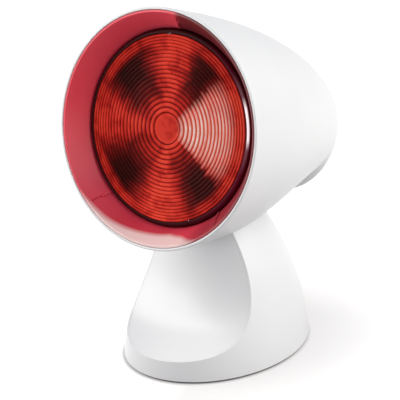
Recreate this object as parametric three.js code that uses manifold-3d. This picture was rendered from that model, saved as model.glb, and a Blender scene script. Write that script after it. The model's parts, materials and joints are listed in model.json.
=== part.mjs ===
// Infrared heat therapy lamp for a table: a tilting shade with a red reflector bulb on a bell-shaped foot.
// Millimetres, +Z up. The lamp faces -Y, stands on z = 0 and is centred in x and y on its outer box.

import * as THREE from 'three';
import { mergeVertices } from 'three/addons/utils/BufferGeometryUtils.js';
import Module from 'manifold-3d';

const wasm = await Module();
wasm.setup();

// Clearances and overruns shared by all pieces
const fitGap = 0.3; // between pieces that touch or screw together
const runningGap = 0.3; // between pieces that turn against each other
const overrun = 5; // how far a cut runs past the face that it opens

// Lamp holder
const holderRadius = 18.5;
const holderLength = 44;
const holderFloor = 14;
const holderSleeveWall = 0.6;
const holderSleeveLength = 20;
const holderCollarLength = 4;
const holderSides = 12;

// Bulb: a pressed-glass reflector bulb with an E27 cap, placed by its depth behind the rim
const bulbRadius = 60.3;
const bulbLength = 134;
const bulbFrontDepth = 10.5;
const bulbGlass = 1.6;
const bulbRingWidth = 3.8;
const lensRadius = bulbRadius - bulbRingWidth;
const lensDome = 3.8;
const lensThickness = 3;
const lensCentreRadius = 9.5;
const lensRidgePitch = 3;
const lensRidgeHeight = 0.7;
const bulbRingCrown = 1.3;
const bulbRimThickness = 2.5;
const bulbSides = 24;
const bulbBackSides = 16;
const capRadius = 13.2;
const capWall = 0.6;
const capLength = 24;
const capThreadPitch = 3.6;
const capThreadDepth = 0.6;
const capInsulatorLength = 3.4;
const capContactRadius = 5;
const capContactLength = 1.8;
const neckRadius = 11.6;

// Reflector funnel: the red lining between the rim and the bulb
const funnelWall = 1.3;
const funnelFlare = 7.75; // how much wider its mouth is than its throat
const funnelMouthSetback = 0.4;
const funnelThroatDepth = 19;
const funnelLandDepth = 22;
const funnelEndDepth = 30.5;
const bulbClearance = 1.3; // between the bulb's widest ring and the funnel's throat
const throatRadius = bulbRadius + bulbClearance;
const mouthRadius = throatRadius + funnelFlare;
const funnelSides = 32;
const ribWidth = 3.4;
const ribHeight = 2;
const ribStartDepth = 6.5;
const ribEndDepth = 14.5;
const ribAngles = [90, -50, -130];

// Foot: a bell lofted from ellipses, with a scooped front
const footWidth = 107.1;
const footDepth = 141.8;
const footWidthPower = 1.459;
const footWidthRoot = 1.284;
const footDepthPower = 1.686;
const footDepthRoot = 1.411;
const footLean = 12.9; // how far the bell's apex leans towards the front
const footHeight = 92;
const footWidthApexShare = 1.3598; // of the height at which its width and its depth would end
const footDepthApexShare = 1.3902;
const footWidthApex = footHeight * footWidthApexShare;
const footDepthApex = footHeight * footDepthApexShare;
const footFloorGap = 1.5;
const footWall = 2.4;
const footSides = 36;
const footInnerSides = 24;
const footRingHeight = 11.5; // between the rings of its loft

// Scoop: the front facet, shallow at its toe and nearly upright at its top
const scoopPlaneY = -22;
const scoopReach = 19.5;
const scoopFloorZ = 5.5;
const scoopCrownBottomRadius = 250;
const scoopCrownTopRadius = 50;
const scoopCrownBottomZ = 15;
const scoopCrownTopDrop = 7; // below the foot's top
const scoopCrownTopZ = footHeight - scoopCrownTopDrop;
const panelThickness = 2.2;
const panelLip = 1.2;
const scoopStartZ = 11;
const scoopRows = 11;
const scoopColumns = 8;

// Tilt hinge between the foot and the shade
const pivotY = 8;
const pivotRise = 2; // over the foot's top
const pivotZ = footHeight + pivotRise;
const pivotBoltRadius = 3;
const knuckleRadius = 8;
const knuckleHalfWidth = 9;
const washerThickness = 1.2;
const earThickness = 4;
const boltHeadRadius = 5;
const boltHeadHeight = 2.4;
const deckDrop = 12; // below the foot's top
const deckTopZ = footHeight - deckDrop;
const deckThickness = 2.6;
const postFlangeThickness = 3;
const postFlangeHalfDepth = 15;
const postScrewOffset = 11.5;

// Shade: a rounded shell of revolution with a drooping, flattened belly
const rimLipWidth = 1.3; // white lip in front of the funnel's edge
const rimLipDepth = 4;
const shadeRadius = mouthRadius + funnelWall + fitGap + rimLipWidth;
const shadeBackRoom = 35.5; // behind the bulb's foot contact
const shadeLength = bulbFrontDepth + bulbLength + shadeBackRoom;
const shadeTaperShare = 0.157;
const shadeNosePower = 2.56;
const shadeNoseRoot = 1.9;
const shadeDroop = 4.8; // how far the axis sinks towards the back
const shadeTilt = 10.45; // degrees that the shade looks up
const shadeOverhang = 72.5; // of the rim's centre in front of the pivot
const hingeSink = 6.85; // how far the pivot lies above the level of a full round belly
const shadeRimY = pivotY - shadeOverhang;
const shadeRimZ = pivotZ + shadeRadius - hingeSink;
const shadeWall = 2;
const rimRound = 0.5;
const bellyFlatShare = 0.25; // how much the belly is flattened over the foot
const bellyRiseStartShare = 0.2;
const bellyRiseEndShare = 0.64;
const bellyFallStartShare = 0.7; // a short fall leaves a round heel behind the foot
const bellyFallEndShare = 0.76;
const shadeSides = 36;
const shadeInnerSides = 28;
// Shares of the length at which the loft has a ring, closest over the heel
const shadeRingShares = [0.12, 0.24, 0.36, 0.48, 0.6, 0.69, 0.73, 0.77, 0.85, 0.92, 0.97];
const shadeInnerRingShares = [0.16, 0.34, 0.5, 0.62, 0.71, 0.75, 0.79, 0.88, 0.96];

// Pocket: the recess in the shade's belly that takes the hinge
const pocketSideGap = 5.8; // beside the foot's top
const slotAhead = 41; // of the pivot
const slotBehind = 44; // it ends before the heel
const slotHalfWidth = footSection(footHeight, 0).halfWidth + pocketSideGap;
const slotFrontY = pivotY - slotAhead;
const slotBackY = pivotY + slotBehind;
const slotCorner = 5;
const pocketWall = 3;
const pocketRoofWall = 1.8;
const pocketFlangeWidth = 6;
const pocketFlangeThickness = 2.5;
const pocketRoofHeight = 14; // of the flat back part of the roof, above the pivot
// Shares of the slot's length from its front, and of the roof's height
const pocketRoofShares = [
  [0, 0.32],
  [0.09, 0.44],
  [0.32, 0.54],
  [0.42, 0.68],
  [0.52, 0.86],
  [0.62, 0.96],
  [0.72, 1],
];

// Lamp holder bracket
const bracketThickness = 1.5;
const bracketWidth = 26;
const bracketFootOffset = 34; // of its front edge behind the pivot
const bracketFootStartY = pivotY + bracketFootOffset;
const bracketRise = 30;

// Bottom plate, feet and ballast
const plateThickness = 3.5;
const plateBottomZ = 1.6;
const padRadius = 7;
const padRecess = 1;
const padSpreadXShare = 0.4855; // of the foot's width
const padSpreadYShare = 0.5642; // of the foot's depth
const plateScrewSpreadXShare = 0.795;
const plateScrewSpreadYShare = 0.3808;
const padSpacingX = footWidth * padSpreadXShare;
const padSpacingY = footDepth * padSpreadYShare;
const plateScrewSpacingX = footWidth * plateScrewSpreadXShare;
const plateScrewSpacingY = footDepth * plateScrewSpreadYShare;
const plateScrewBossHeight = 15;
const ballastWidthShare = 0.6162;
const ballastDepthShare = 0.6206;
const ballastWidth = footWidth * ballastWidthShare;
const ballastDepth = footDepth * ballastDepthShare;
const ballastThickness = 9.6;

// Small screws
const screwHeadRadius = 3.1;
const screwHeadHeight = 1.7;
const screwShankRadius = 1.45;
const screwLength = 11;
const screwBossRadius = 4.2;
const screwSides = 6;

// Rocker switch at the back of the foot
const switchZ = 34;
const switchWidth = 21;
const switchHeight = 14;
const switchDepth = 11;
const switchBezel = 1.6;
const switchBezelThickness = 3.2;
const switchProud = 0.8;
const rockerWidth = 16.4;
const rockerHeight = 10;
const rockerThickness = 4.6;
const rockerThrow = 16; // degrees between off and on
const rockerAxleRadius = 1.3;
const rockerWallGap = 0.6;

// Cord gland at the back of the foot
const glandZ = 12;
const glandBoreRadius = 3.3;
const glandNeckRadius = 4.7;
const glandFlangeRadius = 6;
const glandFlangeThickness = 1.7;

// Wiring inside
const leadRadius = 1.3;
const leadSides = 6;
const leadSteps = 8;
const leadSpacing = 8; // at the terminal block
const leadGatherShare = 0.42; // of that spacing inside a grommet
const grommetNeckRadius = 4.6;
const grommetWall = 1.2;
const grommetLip = 1.2;
const deckGrommetMargin = 3.2; // between its lip and the foot's wall
const deckBack = footSection(deckTopZ, footWall);
const deckGrommetY = deckBack.centreY + deckBack.halfDepth - grommetNeckRadius - grommetLip - deckGrommetMargin;
const roofGrommetOffset = 26.5; // behind the pivot
const roofGrommetY = pivotY + roofGrommetOffset;
const terminalWidth = 26;
const terminalDepth = 14;
const terminalHeight = 11;
const terminalY = 22;
const terminalHoleRadius = 2;

// Air slots in the shade's back
const ventWidth = 44;
const ventHeight = 2.6;
const ventPitch = 7.5;
const ventCount = 5;
const ventReach = 26;

const degrees = Math.PI / 180;
const group = new THREE.Group();

// Materials

function plastic(colour, roughness) {
  return new THREE.MeshStandardMaterial({ color: colour, roughness: roughness, metalness: 0 });
}

function metal(colour, roughness) {
  return new THREE.MeshStandardMaterial({ color: colour, roughness: roughness, metalness: 1 });
}

const whiteGloss = plastic(0xf0f0f2, 0.25);
const whiteSatin = plastic(0xe9eaee, 0.4);
const greyPlastic = plastic(0x8a8d92, 0.6);
const blackPlastic = plastic(0x1c1d1f, 0.5);
const funnelRed = plastic(0xbe3c48, 0.3);
const rubberGrey = plastic(0x3a3a3c, 0.9);
const ceramicWhite = plastic(0xe8e4da, 0.5);
const blackGlass = plastic(0x121214, 0.2);
const brownLead = plastic(0x6b3f22, 0.6);
const blueLead = plastic(0x2f5d9c, 0.6);
const bulbRed = plastic(0xc81e14, 0.12);
const mirrorAluminium = metal(0xd6d7da, 0.15);
const nickelSteel = metal(0xb9bbbe, 0.3);
const brass = metal(0xc8a050, 0.35);
const castIron = metal(0x55575a, 0.7);
const tungsten = metal(0x8c8a86, 0.4);

// Solids: closed meshes for cutting and joining

function toSolid(geometry) {
  const bare = geometry.clone();
  bare.deleteAttribute('normal');
  bare.deleteAttribute('uv');
  const merged = mergeVertices(bare);
  const vertProperties = new Float32Array(merged.attributes.position.array);
  const triVerts = new Uint32Array(merged.index.array);
  return new wasm.Manifold(new wasm.Mesh({ numProp: 3, vertProperties, triVerts }));
}

function toGeometry(solid) {
  const mesh = solid.getMesh();
  const geometry = new THREE.BufferGeometry();
  const positions = new Float32Array(mesh.numVert * 3);
  for (let i = 0; i < mesh.numVert; i += 1) {
    for (let k = 0; k < 3; k += 1) {
      positions[i * 3 + k] = mesh.vertProperties[i * mesh.numProp + k];
    }
  }
  geometry.setAttribute('position', new THREE.BufferAttribute(positions, 3));
  geometry.setIndex(new THREE.BufferAttribute(new Uint32Array(mesh.triVerts), 1));
  return geometry;
}

function placed(geometry, matrix) {
  return geometry.clone().applyMatrix4(matrix);
}

function add(name, geometry, material, parent = group) {
  const mesh = new THREE.Mesh(geometry, material);
  mesh.name = name;
  parent.add(mesh);
  return mesh;
}

function addSolid(name, solid, material) {
  return add(name, toGeometry(solid), material);
}

// Shapes

function signedVolume(points, faces) {
  let volume = 0;
  for (const [a, b, c] of faces) {
    volume += points[a].dot(points[b].clone().cross(points[c]));
  }
  return volume;
}

function meshGeometry(points, faces) {
  const outward = signedVolume(points, faces) > 0;
  const index = faces.flatMap(([a, b, c]) => (outward ? [a, b, c] : [a, c, b]));
  const geometry = new THREE.BufferGeometry();
  geometry.setAttribute('position', new THREE.Float32BufferAttribute(points.flatMap((p) => [p.x, p.y, p.z]), 3));
  geometry.setIndex(index);
  return geometry;
}

// A loft through rings of equal count, closed to one point at each end
function loft(rings, firstPoint, lastPoint) {
  const count = rings[0].length;
  const points = [firstPoint, ...rings.flat(), lastPoint];
  const last = points.length - 1;
  const faces = [];
  for (let j = 0; j < count; j += 1) {
    const next = (j + 1) % count;
    faces.push([0, 1 + j, 1 + next]);
    for (let i = 0; i < rings.length - 1; i += 1) {
      const a = 1 + i * count + j;
      const b = 1 + i * count + next;
      faces.push([a, a + count, b]);
      faces.push([b, a + count, b + count]);
    }
    const tail = 1 + (rings.length - 1) * count;
    faces.push([tail + next, tail + j, last]);
  }
  return meshGeometry(points, faces);
}

// A turned piece about local Z, from [radius, height] corners that end on the axis or close on themselves
function turned(corners, sides) {
  const outline = corners.map(([radius, height]) => new THREE.Vector2(radius, height));
  const geometry = new THREE.LatheGeometry(outline, sides);
  geometry.rotateX(Math.PI / 2);
  return fixedGeometry(geometry);
}

// The same mesh with shared corners, no empty faces and its faces turned outward
function fixedGeometry(geometry) {
  const bare = geometry.clone();
  bare.deleteAttribute('normal');
  bare.deleteAttribute('uv');
  const merged = mergeVertices(bare, 1e-4);
  const position = merged.attributes.position;
  const points = [];
  for (let i = 0; i < position.count; i += 1) {
    points.push(new THREE.Vector3().fromBufferAttribute(position, i));
  }
  const faces = [];
  for (let i = 0; i < merged.index.count; i += 3) {
    const [a, b, c] = [merged.index.getX(i), merged.index.getX(i + 1), merged.index.getX(i + 2)];
    if (a !== b && b !== c && c !== a) {
      faces.push([a, b, c]);
    }
  }
  return meshGeometry(points, faces);
}

function disc(radius, low, high, sides) {
  return turned([[0, low], [radius, low], [radius, high], [0, high]], sides);
}

function tube(outer, inner, low, high, sides) {
  return turned([[inner, low], [outer, low], [outer, high], [inner, high], [inner, low]], sides);
}

function block(width, depth, height, x, y, z) {
  const geometry = new THREE.BoxGeometry(width, depth, height);
  geometry.translate(x, y, z);
  return geometry;
}

// An outline in y and z, extruded evenly to both sides of x = 0
function sideExtrusion(corners, width) {
  const shape = new THREE.Shape(corners.map(([y, z]) => new THREE.Vector2(y, z)));
  return sideShape(shape, width);
}

function sideShape(shape, width) {
  const geometry = new THREE.ExtrudeGeometry(shape, { depth: width, bevelEnabled: false, curveSegments: 12 });
  geometry.translate(0, 0, -width / 2);
  geometry.applyMatrix4(new THREE.Matrix4().makeBasis(
    new THREE.Vector3(0, 1, 0),
    new THREE.Vector3(0, 0, 1),
    new THREE.Vector3(1, 0, 0),
  ));
  return geometry;
}

function planShape(halfWidth, frontY, backY, corner) {
  const shape = new THREE.Shape();
  shape.moveTo(-halfWidth + corner, frontY);
  shape.lineTo(halfWidth - corner, frontY);
  shape.absarc(halfWidth - corner, frontY + corner, corner, -Math.PI / 2, 0, false);
  shape.absarc(halfWidth - corner, backY - corner, corner, 0, Math.PI / 2, false);
  shape.absarc(-halfWidth + corner, backY - corner, corner, Math.PI / 2, Math.PI, false);
  shape.absarc(-halfWidth + corner, frontY + corner, corner, Math.PI, Math.PI * 1.5, false);
  return shape;
}

function upright(shape, low, high) {
  const geometry = new THREE.ExtrudeGeometry(shape, { depth: high - low, bevelEnabled: false, curveSegments: 4 });
  geometry.translate(0, 0, low);
  return geometry;
}

function alongX(geometry, x, y, z) {
  const turnedToX = geometry.clone();
  turnedToX.rotateY(Math.PI / 2);
  turnedToX.translate(x, y, z);
  return turnedToX;
}

// A screw with its head's top at z = 0 and its shank below
function screw(length = screwLength) {
  return turned([
    [0, -length],
    [screwShankRadius, -length],
    [screwShankRadius, -screwHeadHeight],
    [screwHeadRadius, -screwHeadHeight],
    [screwHeadRadius, -screwHeadHeight / 3],
    [screwHeadRadius * 0.8, 0],
    [0, 0],
  ], screwSides);
}

// Shade axes: local z points out of the mouth, local y up, so depth behind the rim is -z
const shadeAxes = new THREE.Group();
shadeAxes.position.set(0, shadeRimY, shadeRimZ);
shadeAxes.rotation.x = Math.PI / 2 - shadeTilt * degrees;
shadeAxes.updateMatrix();
group.add(shadeAxes);
const toShade = shadeAxes.matrix;

function smooth(value) {
  const t = THREE.MathUtils.clamp(value, 0, 1);
  return t * t * (3 - 2 * t);
}

function shadeSectionRadius(share, radius) {
  const nose = Math.pow(Math.max(1 - Math.pow(share, shadeNosePower), 0), 1 / shadeNoseRoot);
  return radius * (1 - shadeTaperShare * share) * nose;
}

function bellyShare(share) {
  const rise = smooth((share - bellyRiseStartShare) / (bellyRiseEndShare - bellyRiseStartShare));
  const fall = smooth((share - bellyFallStartShare) / (bellyFallEndShare - bellyFallStartShare));
  return bellyFlatShare * rise * (1 - fall);
}

function shadeRing(share, radius, length, sides, depth = share * length) {
  const size = shadeSectionRadius(share, radius);
  const inset = shadeRadius - radius;
  const flat = bellyShare((depth - inset) / shadeLength);
  const points = [];
  for (let i = 0; i < sides; i += 1) {
    const angle = (i / sides) * Math.PI * 2;
    const drop = Math.sin(angle) < 0 ? 1 - flat : 1;
    const height = Math.sin(angle) * size * drop - shadeDroop * share;
    points.push(new THREE.Vector3(Math.cos(angle) * size, height, -depth).applyMatrix4(toShade));
  }
  return points;
}

// The shade's body, set in from its outer face by inset
function shadeBody(inset, mouthOverrun = 0) {
  const ringShares = inset > 0 ? shadeInnerRingShares : shadeRingShares;
  const sides = inset > 0 ? shadeInnerSides : shadeSides;
  const radius = shadeRadius - inset;
  const length = shadeLength - inset;
  const rings = [];
  if (mouthOverrun > 0) {
    rings.push(shadeRing(0, radius, length, sides, -mouthOverrun));
  } else {
    rings.push(shadeRing(0, radius - rimRound, length, sides));
    rings.push(shadeRing(rimRound / length, radius, length, sides));
  }
  for (const share of ringShares) {
    rings.push(shadeRing(share, radius, length, sides));
  }
  const mouth = new THREE.Vector3(0, 0, mouthOverrun).applyMatrix4(toShade);
  const tip = new THREE.Vector3(0, -shadeDroop, -length).applyMatrix4(toShade);
  return toSolid(loft(rings, mouth, tip));
}

// Pocket and slot in the shade's belly
const pocketTopZ = pivotZ + pocketRoofHeight + pocketRoofWall;
const slotTopZ = pocketTopZ + overrun;
const slotBottomZ = deckTopZ - 4 * overrun;

function roofLine(lift, frontY, backY) {
  const slotLength = slotBackY - slotFrontY;
  const line = pocketRoofShares.map(([along, up]) => [
    slotFrontY + along * slotLength,
    pivotZ + up * pocketRoofHeight + lift,
  ]);
  const first = line[0];
  const last = line[line.length - 1];
  return [[frontY, slotBottomZ], [backY, slotBottomZ], [backY, last[1]], ...line.reverse(), [frontY, first[1]]];
}

function underRoof(lift, halfWidth) {
  const margin = pocketWall + pocketFlangeWidth + overrun;
  return toSolid(sideExtrusion(roofLine(lift, slotFrontY - margin, slotBackY + margin), 2 * halfWidth));
}

const slotColumn = toSolid(upright(planShape(slotHalfWidth, slotFrontY, slotBackY, slotCorner), slotBottomZ, slotTopZ));
const pocketHollow = slotColumn.intersect(underRoof(0, slotHalfWidth + overrun));

function grownColumn(growth) {
  const shape = planShape(
    slotHalfWidth + growth,
    slotFrontY - growth,
    slotBackY + growth,
    slotCorner + growth,
  );
  return toSolid(upright(shape, slotBottomZ, slotTopZ));
}

// Shade shell
function makeShadeShell() {
  const lipRadius = shadeRadius - rimLipWidth;
  const rebate = toSolid(placed(disc(lipRadius, -rimLipDepth, overrun, shadeSides), toShade));
  let shell = shadeBody(0).subtract(shadeBody(shadeWall, overrun)).subtract(rebate);
  shell = shell.subtract(pocketHollow);
  const tip = new THREE.Vector3(0, -shadeDroop, -shadeLength).applyMatrix4(toShade);
  for (let i = 0; i < ventCount; i += 1) {
    const z = tip.z + (i - (ventCount - 1) / 2) * ventPitch;
    shell = shell.subtract(toSolid(block(ventWidth, ventReach, ventHeight, 0, tip.y, z)));
  }
  return shell;
}

addSolid('shade_shell', makeShadeShell(), whiteGloss);

// Screws of the bracket's foot
const bracketScrewX = bracketWidth / 2 - screwBossRadius;
const bracketScrewY = bracketFootStartY + screwBossRadius + screwShankRadius;

// Hinge pocket: walls and roof inside the shade, with a flange that lies on the shell and two ears
function makeHingePocket() {
  const seat = shadeBody(shadeWall + fitGap, overrun);
  const overFlange = shadeBody(shadeWall + fitGap + pocketFlangeThickness, overrun);
  const flange = grownColumn(pocketWall + pocketFlangeWidth).subtract(overFlange);
  const box = grownColumn(pocketWall).intersect(underRoof(pocketRoofWall, slotHalfWidth + pocketWall + overrun));
  let pocket = box.add(flange).intersect(seat).subtract(pocketHollow);
  const earInner = knuckleHalfWidth + washerThickness + 2 * runningGap;
  const earShape = new THREE.Shape();
  earShape.absarc(pivotY, pivotZ, knuckleRadius, Math.PI, 2 * Math.PI, false);
  earShape.lineTo(pivotY + knuckleRadius, pocketTopZ - overrun);
  earShape.lineTo(pivotY - knuckleRadius, pocketTopZ - overrun);
  const roofStock = underRoof(pocketRoofWall / 2, slotHalfWidth);
  for (const side of [-1, 1]) {
    const ear = sideShape(earShape, earThickness);
    ear.translate(side * (earInner + earThickness / 2), 0, 0);
    pocket = pocket.add(toSolid(ear).intersect(roofStock));
  }
  const boltHole = disc(pivotBoltRadius + fitGap, -slotHalfWidth, slotHalfWidth, holderSides);
  pocket = pocket.subtract(toSolid(alongX(boltHole, 0, pivotY, pivotZ)));
  const roofHole = disc(grommetNeckRadius + fitGap, pivotZ, slotTopZ, holderSides);
  roofHole.translate(0, roofGrommetY, 0);
  pocket = pocket.subtract(toSolid(roofHole));
  for (const side of [-1, 1]) {
    const boss = disc(screwBossRadius, pocketTopZ - screwLength, pocketTopZ - pocketRoofWall / 2, screwSides);
    boss.translate(side * bracketScrewX, bracketScrewY, 0);
    const pilot = disc(screwShankRadius + fitGap, pocketTopZ - screwLength - overrun, slotTopZ, screwSides);
    pilot.translate(side * bracketScrewX, bracketScrewY, 0);
    pocket = pocket.add(toSolid(boss)).subtract(toSolid(pilot));
  }
  return pocket;
}

addSolid('hinge_pocket', makeHingePocket(), whiteSatin);

// Reflector funnel
function funnelRadius(depth) {
  const share = (depth - funnelMouthSetback) / (funnelThroatDepth - funnelMouthSetback);
  return mouthRadius + (throatRadius - mouthRadius) * share;
}

function makeFunnel() {
  const tailRadius = throatRadius - funnelWall * 3;
  const body = turned([
    [mouthRadius, -funnelMouthSetback],
    [throatRadius, -funnelThroatDepth],
    [throatRadius, -funnelLandDepth],
    [tailRadius, -funnelEndDepth],
    [tailRadius + funnelWall, -funnelEndDepth],
    [throatRadius + funnelWall, -funnelLandDepth],
    [throatRadius + funnelWall, -funnelThroatDepth],
    [funnelRadius(rimLipDepth + fitGap) + funnelWall, -rimLipDepth + fitGap],
    [mouthRadius + funnelWall, -rimLipDepth + fitGap],
    [mouthRadius + funnelWall, -funnelMouthSetback],
    [mouthRadius, -funnelMouthSetback],
  ], funnelSides);
  let funnel = toSolid(placed(body, toShade));
  const sink = funnelWall / 2;
  const outline = [
    [funnelRadius(ribStartDepth) + sink, -ribStartDepth],
    [funnelRadius(ribStartDepth) - ribHeight, -ribStartDepth],
    [funnelRadius(ribEndDepth) - ribHeight, -ribEndDepth],
    [funnelRadius(ribEndDepth) + sink, -ribEndDepth],
  ];
  for (const angle of ribAngles) {
    const rib = sideExtrusion(outline, ribWidth);
    rib.rotateZ((angle - 90) * degrees);
    funnel = funnel.add(toSolid(placed(rib, toShade)));
  }
  return funnel;
}

addSolid('reflector_funnel', makeFunnel(), funnelRed);

// Bulb
function domeDepth(radius) {
  return bulbFrontDepth + lensDome * Math.pow(radius / lensRadius, 2);
}

const ringSeamDepth = bulbFrontDepth + lensDome + bulbRingCrown + bulbRimThickness;

function makeLens() {
  const corners = [[0, -bulbFrontDepth]];
  corners.push([lensCentreRadius, -domeDepth(lensCentreRadius)]);
  const ridges = Math.round((lensRadius - lensCentreRadius) / lensRidgePitch);
  const pitch = (lensRadius - lensCentreRadius) / ridges;
  for (let i = 0; i < ridges; i += 1) {
    const inner = lensCentreRadius + i * pitch;
    corners.push([inner + pitch / 2, -domeDepth(inner + pitch / 2) + lensRidgeHeight]);
    corners.push([inner + pitch, -domeDepth(inner + pitch)]);
  }
  const ringWidth = bulbRadius - lensRadius;
  corners.push([lensRadius + ringWidth / 4, -domeDepth(lensRadius) - bulbRingCrown]);
  corners.push([lensRadius + ringWidth * 0.7, -domeDepth(lensRadius)]);
  corners.push([bulbRadius, -domeDepth(lensRadius) - bulbRingCrown]);
  corners.push([bulbRadius, -ringSeamDepth]);
  corners.push([lensRadius, -ringSeamDepth]);
  const backSteps = 4;
  for (let i = backSteps; i >= 0; i -= 1) {
    const radius = (lensRadius * i) / (backSteps + 1);
    corners.push([radius, -domeDepth(radius) - lensThickness]);
  }
  return turned(corners, bulbSides);
}

add('bulb_lens', makeLens(), bulbRed, shadeAxes);

// Shares of the bulb's radius and of its length, from the ring to the neck
const reflectorShares = [
  [0.93, 0.13],
  [0.78, 0.3],
  [0.56, 0.51],
  [0.35, 0.67],
  [0.24, 0.745],
];
const capStartDepth = bulbFrontDepth + bulbLength - capContactLength - capInsulatorLength - capLength;
const neckEndDepth = capStartDepth + capLength / 3;

function makeBulbReflector() {
  const shareCorners = reflectorShares.map(([across, along]) => [
    bulbRadius * across,
    -bulbFrontDepth - bulbLength * along,
  ]);
  const outside = [
    [bulbRadius, -ringSeamDepth - fitGap],
    [bulbRadius, -ringSeamDepth - fitGap - bulbRimThickness],
    ...shareCorners,
    [neckRadius, -capStartDepth],
    [neckRadius, -neckEndDepth],
  ];
  const inside = outside.slice(1).reverse().map(([radius, height]) => [radius - bulbGlass, height + bulbGlass / 2]);
  inside[0][1] = -neckEndDepth;
  const seam = [lensRadius, -ringSeamDepth - fitGap];
  return turned([...outside, ...inside, seam, outside[0]], bulbBackSides);
}

add('bulb_reflector', makeBulbReflector(), mirrorAluminium, shadeAxes);

function makeCap() {
  const outside = [[capRadius - capThreadDepth, -capStartDepth]];
  const threads = Math.floor((capLength - capThreadPitch) / capThreadPitch);
  for (let i = 0; i < threads; i += 1) {
    const depth = capStartDepth + (i + 1) * capThreadPitch;
    outside.push([capRadius, -depth]);
    outside.push([capRadius - capThreadDepth, -depth - capThreadPitch / 2]);
  }
  const end = capStartDepth + capLength;
  const hollow = capRadius - capThreadDepth - capWall + fitGap;
  return turned([
    ...outside,
    [capRadius - capThreadDepth, -end],
    [hollow, -end],
    [hollow, -capStartDepth],
    outside[0],
  ], holderSides);
}

// The cap's wall runs outside the glass neck with a fit gap
add('bulb_cap', makeCap(), nickelSteel, shadeAxes);

const insulatorStart = capStartDepth + capLength + fitGap;
const insulatorEnd = insulatorStart + capInsulatorLength - fitGap;
add('bulb_insulator', turned([
  [0, -insulatorStart],
  [capRadius - capThreadDepth, -insulatorStart],
  [capContactRadius, -insulatorEnd],
  [0, -insulatorEnd],
], holderSides), blackGlass, shadeAxes);

const contactStart = insulatorEnd + fitGap;
const contactEnd = contactStart + capContactLength - fitGap;
add('bulb_contact', turned([
  [0, -contactStart],
  [capContactRadius, -contactStart],
  [capContactRadius * 0.7, -contactEnd],
  [0, -contactEnd],
], screwSides), brass, shadeAxes);

// Filament on its two posts, carried by the glass stem in the neck
const stemRadius = neckRadius - bulbGlass - fitGap;
const stemLength = 8;
const filamentRadius = 7;
const filamentWire = 0.7;
const postRadius = 0.8;
const postLength = 34;
const stemFrontDepth = capStartDepth - stemLength / 4;
add('bulb_stem', disc(stemRadius, -stemFrontDepth - stemLength, -stemFrontDepth, screwSides), ceramicWhite, shadeAxes);

for (const [name, side] of [['filament_post_left', -1], ['filament_post_right', 1]]) {
  const post = disc(postRadius, -stemFrontDepth + fitGap, -stemFrontDepth + postLength, leadSides);
  post.translate(side * filamentRadius, 0, 0);
  add(name, post, nickelSteel, shadeAxes);
}

class FilamentArc extends THREE.Curve {
  getPoint(share, target = new THREE.Vector3()) {
    const angle = Math.PI * share;
    const seat = -stemFrontDepth + postLength + filamentWire + fitGap;
    return target.set(-Math.cos(angle) * filamentRadius, 0, seat + Math.sin(angle) * filamentRadius * 0.6);
  }
}

function roundSection(radius, sides) {
  const shape = new THREE.Shape();
  for (let i = 0; i < sides; i += 1) {
    const angle = (i / sides) * Math.PI * 2;
    const point = [Math.cos(angle) * radius, Math.sin(angle) * radius];
    if (i === 0) {
      shape.moveTo(...point);
    } else {
      shape.lineTo(...point);
    }
  }
  return shape;
}

function tubeAlong(path, radius, steps) {
  const options = { steps, extrudePath: path, bevelEnabled: false };
  return fixedGeometry(new THREE.ExtrudeGeometry(roundSection(radius, leadSides), options));
}

add('bulb_filament', tubeAlong(new FilamentArc(), filamentWire, 12), tungsten, shadeAxes);

// Lamp holder
const holderFrontDepth = capStartDepth + holderCollarLength;
const holderBackDepth = holderFrontDepth + holderLength;
const holderBoreRadius = capRadius + 2 * fitGap + holderSleeveWall;
const holderFloorDepth = holderBackDepth - holderFloor;
add('holder_body', turned([
  [holderBoreRadius, -holderFrontDepth],
  [holderRadius * 0.94, -holderFrontDepth],
  [holderRadius, -holderFrontDepth - holderCollarLength / 4],
  [holderRadius, -holderFrontDepth - holderLength / 2],
  [holderRadius * 0.9, -holderFrontDepth - holderLength * 0.55],
  [holderRadius * 0.9, -holderBackDepth],
  [0, -holderBackDepth],
  [0, -holderFloorDepth],
  [holderBoreRadius, -holderFloorDepth],
  [holderBoreRadius, -holderFrontDepth],
], holderSides), ceramicWhite, shadeAxes);

const sleeveStart = holderFrontDepth + holderCollarLength / 2;
add('holder_sleeve', tube(
  holderBoreRadius - fitGap,
  holderBoreRadius - fitGap - holderSleeveWall + fitGap / 2,
  -sleeveStart - holderSleeveLength,
  -sleeveStart,
  holderSides,
), brass, shadeAxes);

add('holder_contact', disc(
  capContactRadius * 0.8,
  -holderFloorDepth + fitGap,
  -contactEnd - fitGap,
  screwSides,
), brass, shadeAxes);

// Bracket from the pocket's roof to the back of the lamp holder
const bracketFootZ = pocketTopZ + fitGap;

function shadePoint(height, depth) {
  const point = new THREE.Vector3(0, height, -depth).applyMatrix4(toShade);
  return [point.y, point.z];
}

// The height across the shade's axis at which the plane at this depth crosses level z
function heightAtLevel(z, depth) {
  const low = shadePoint(0, depth);
  const step = shadePoint(1, depth);
  return (z - low[1]) / (step[1] - low[1]);
}

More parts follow.
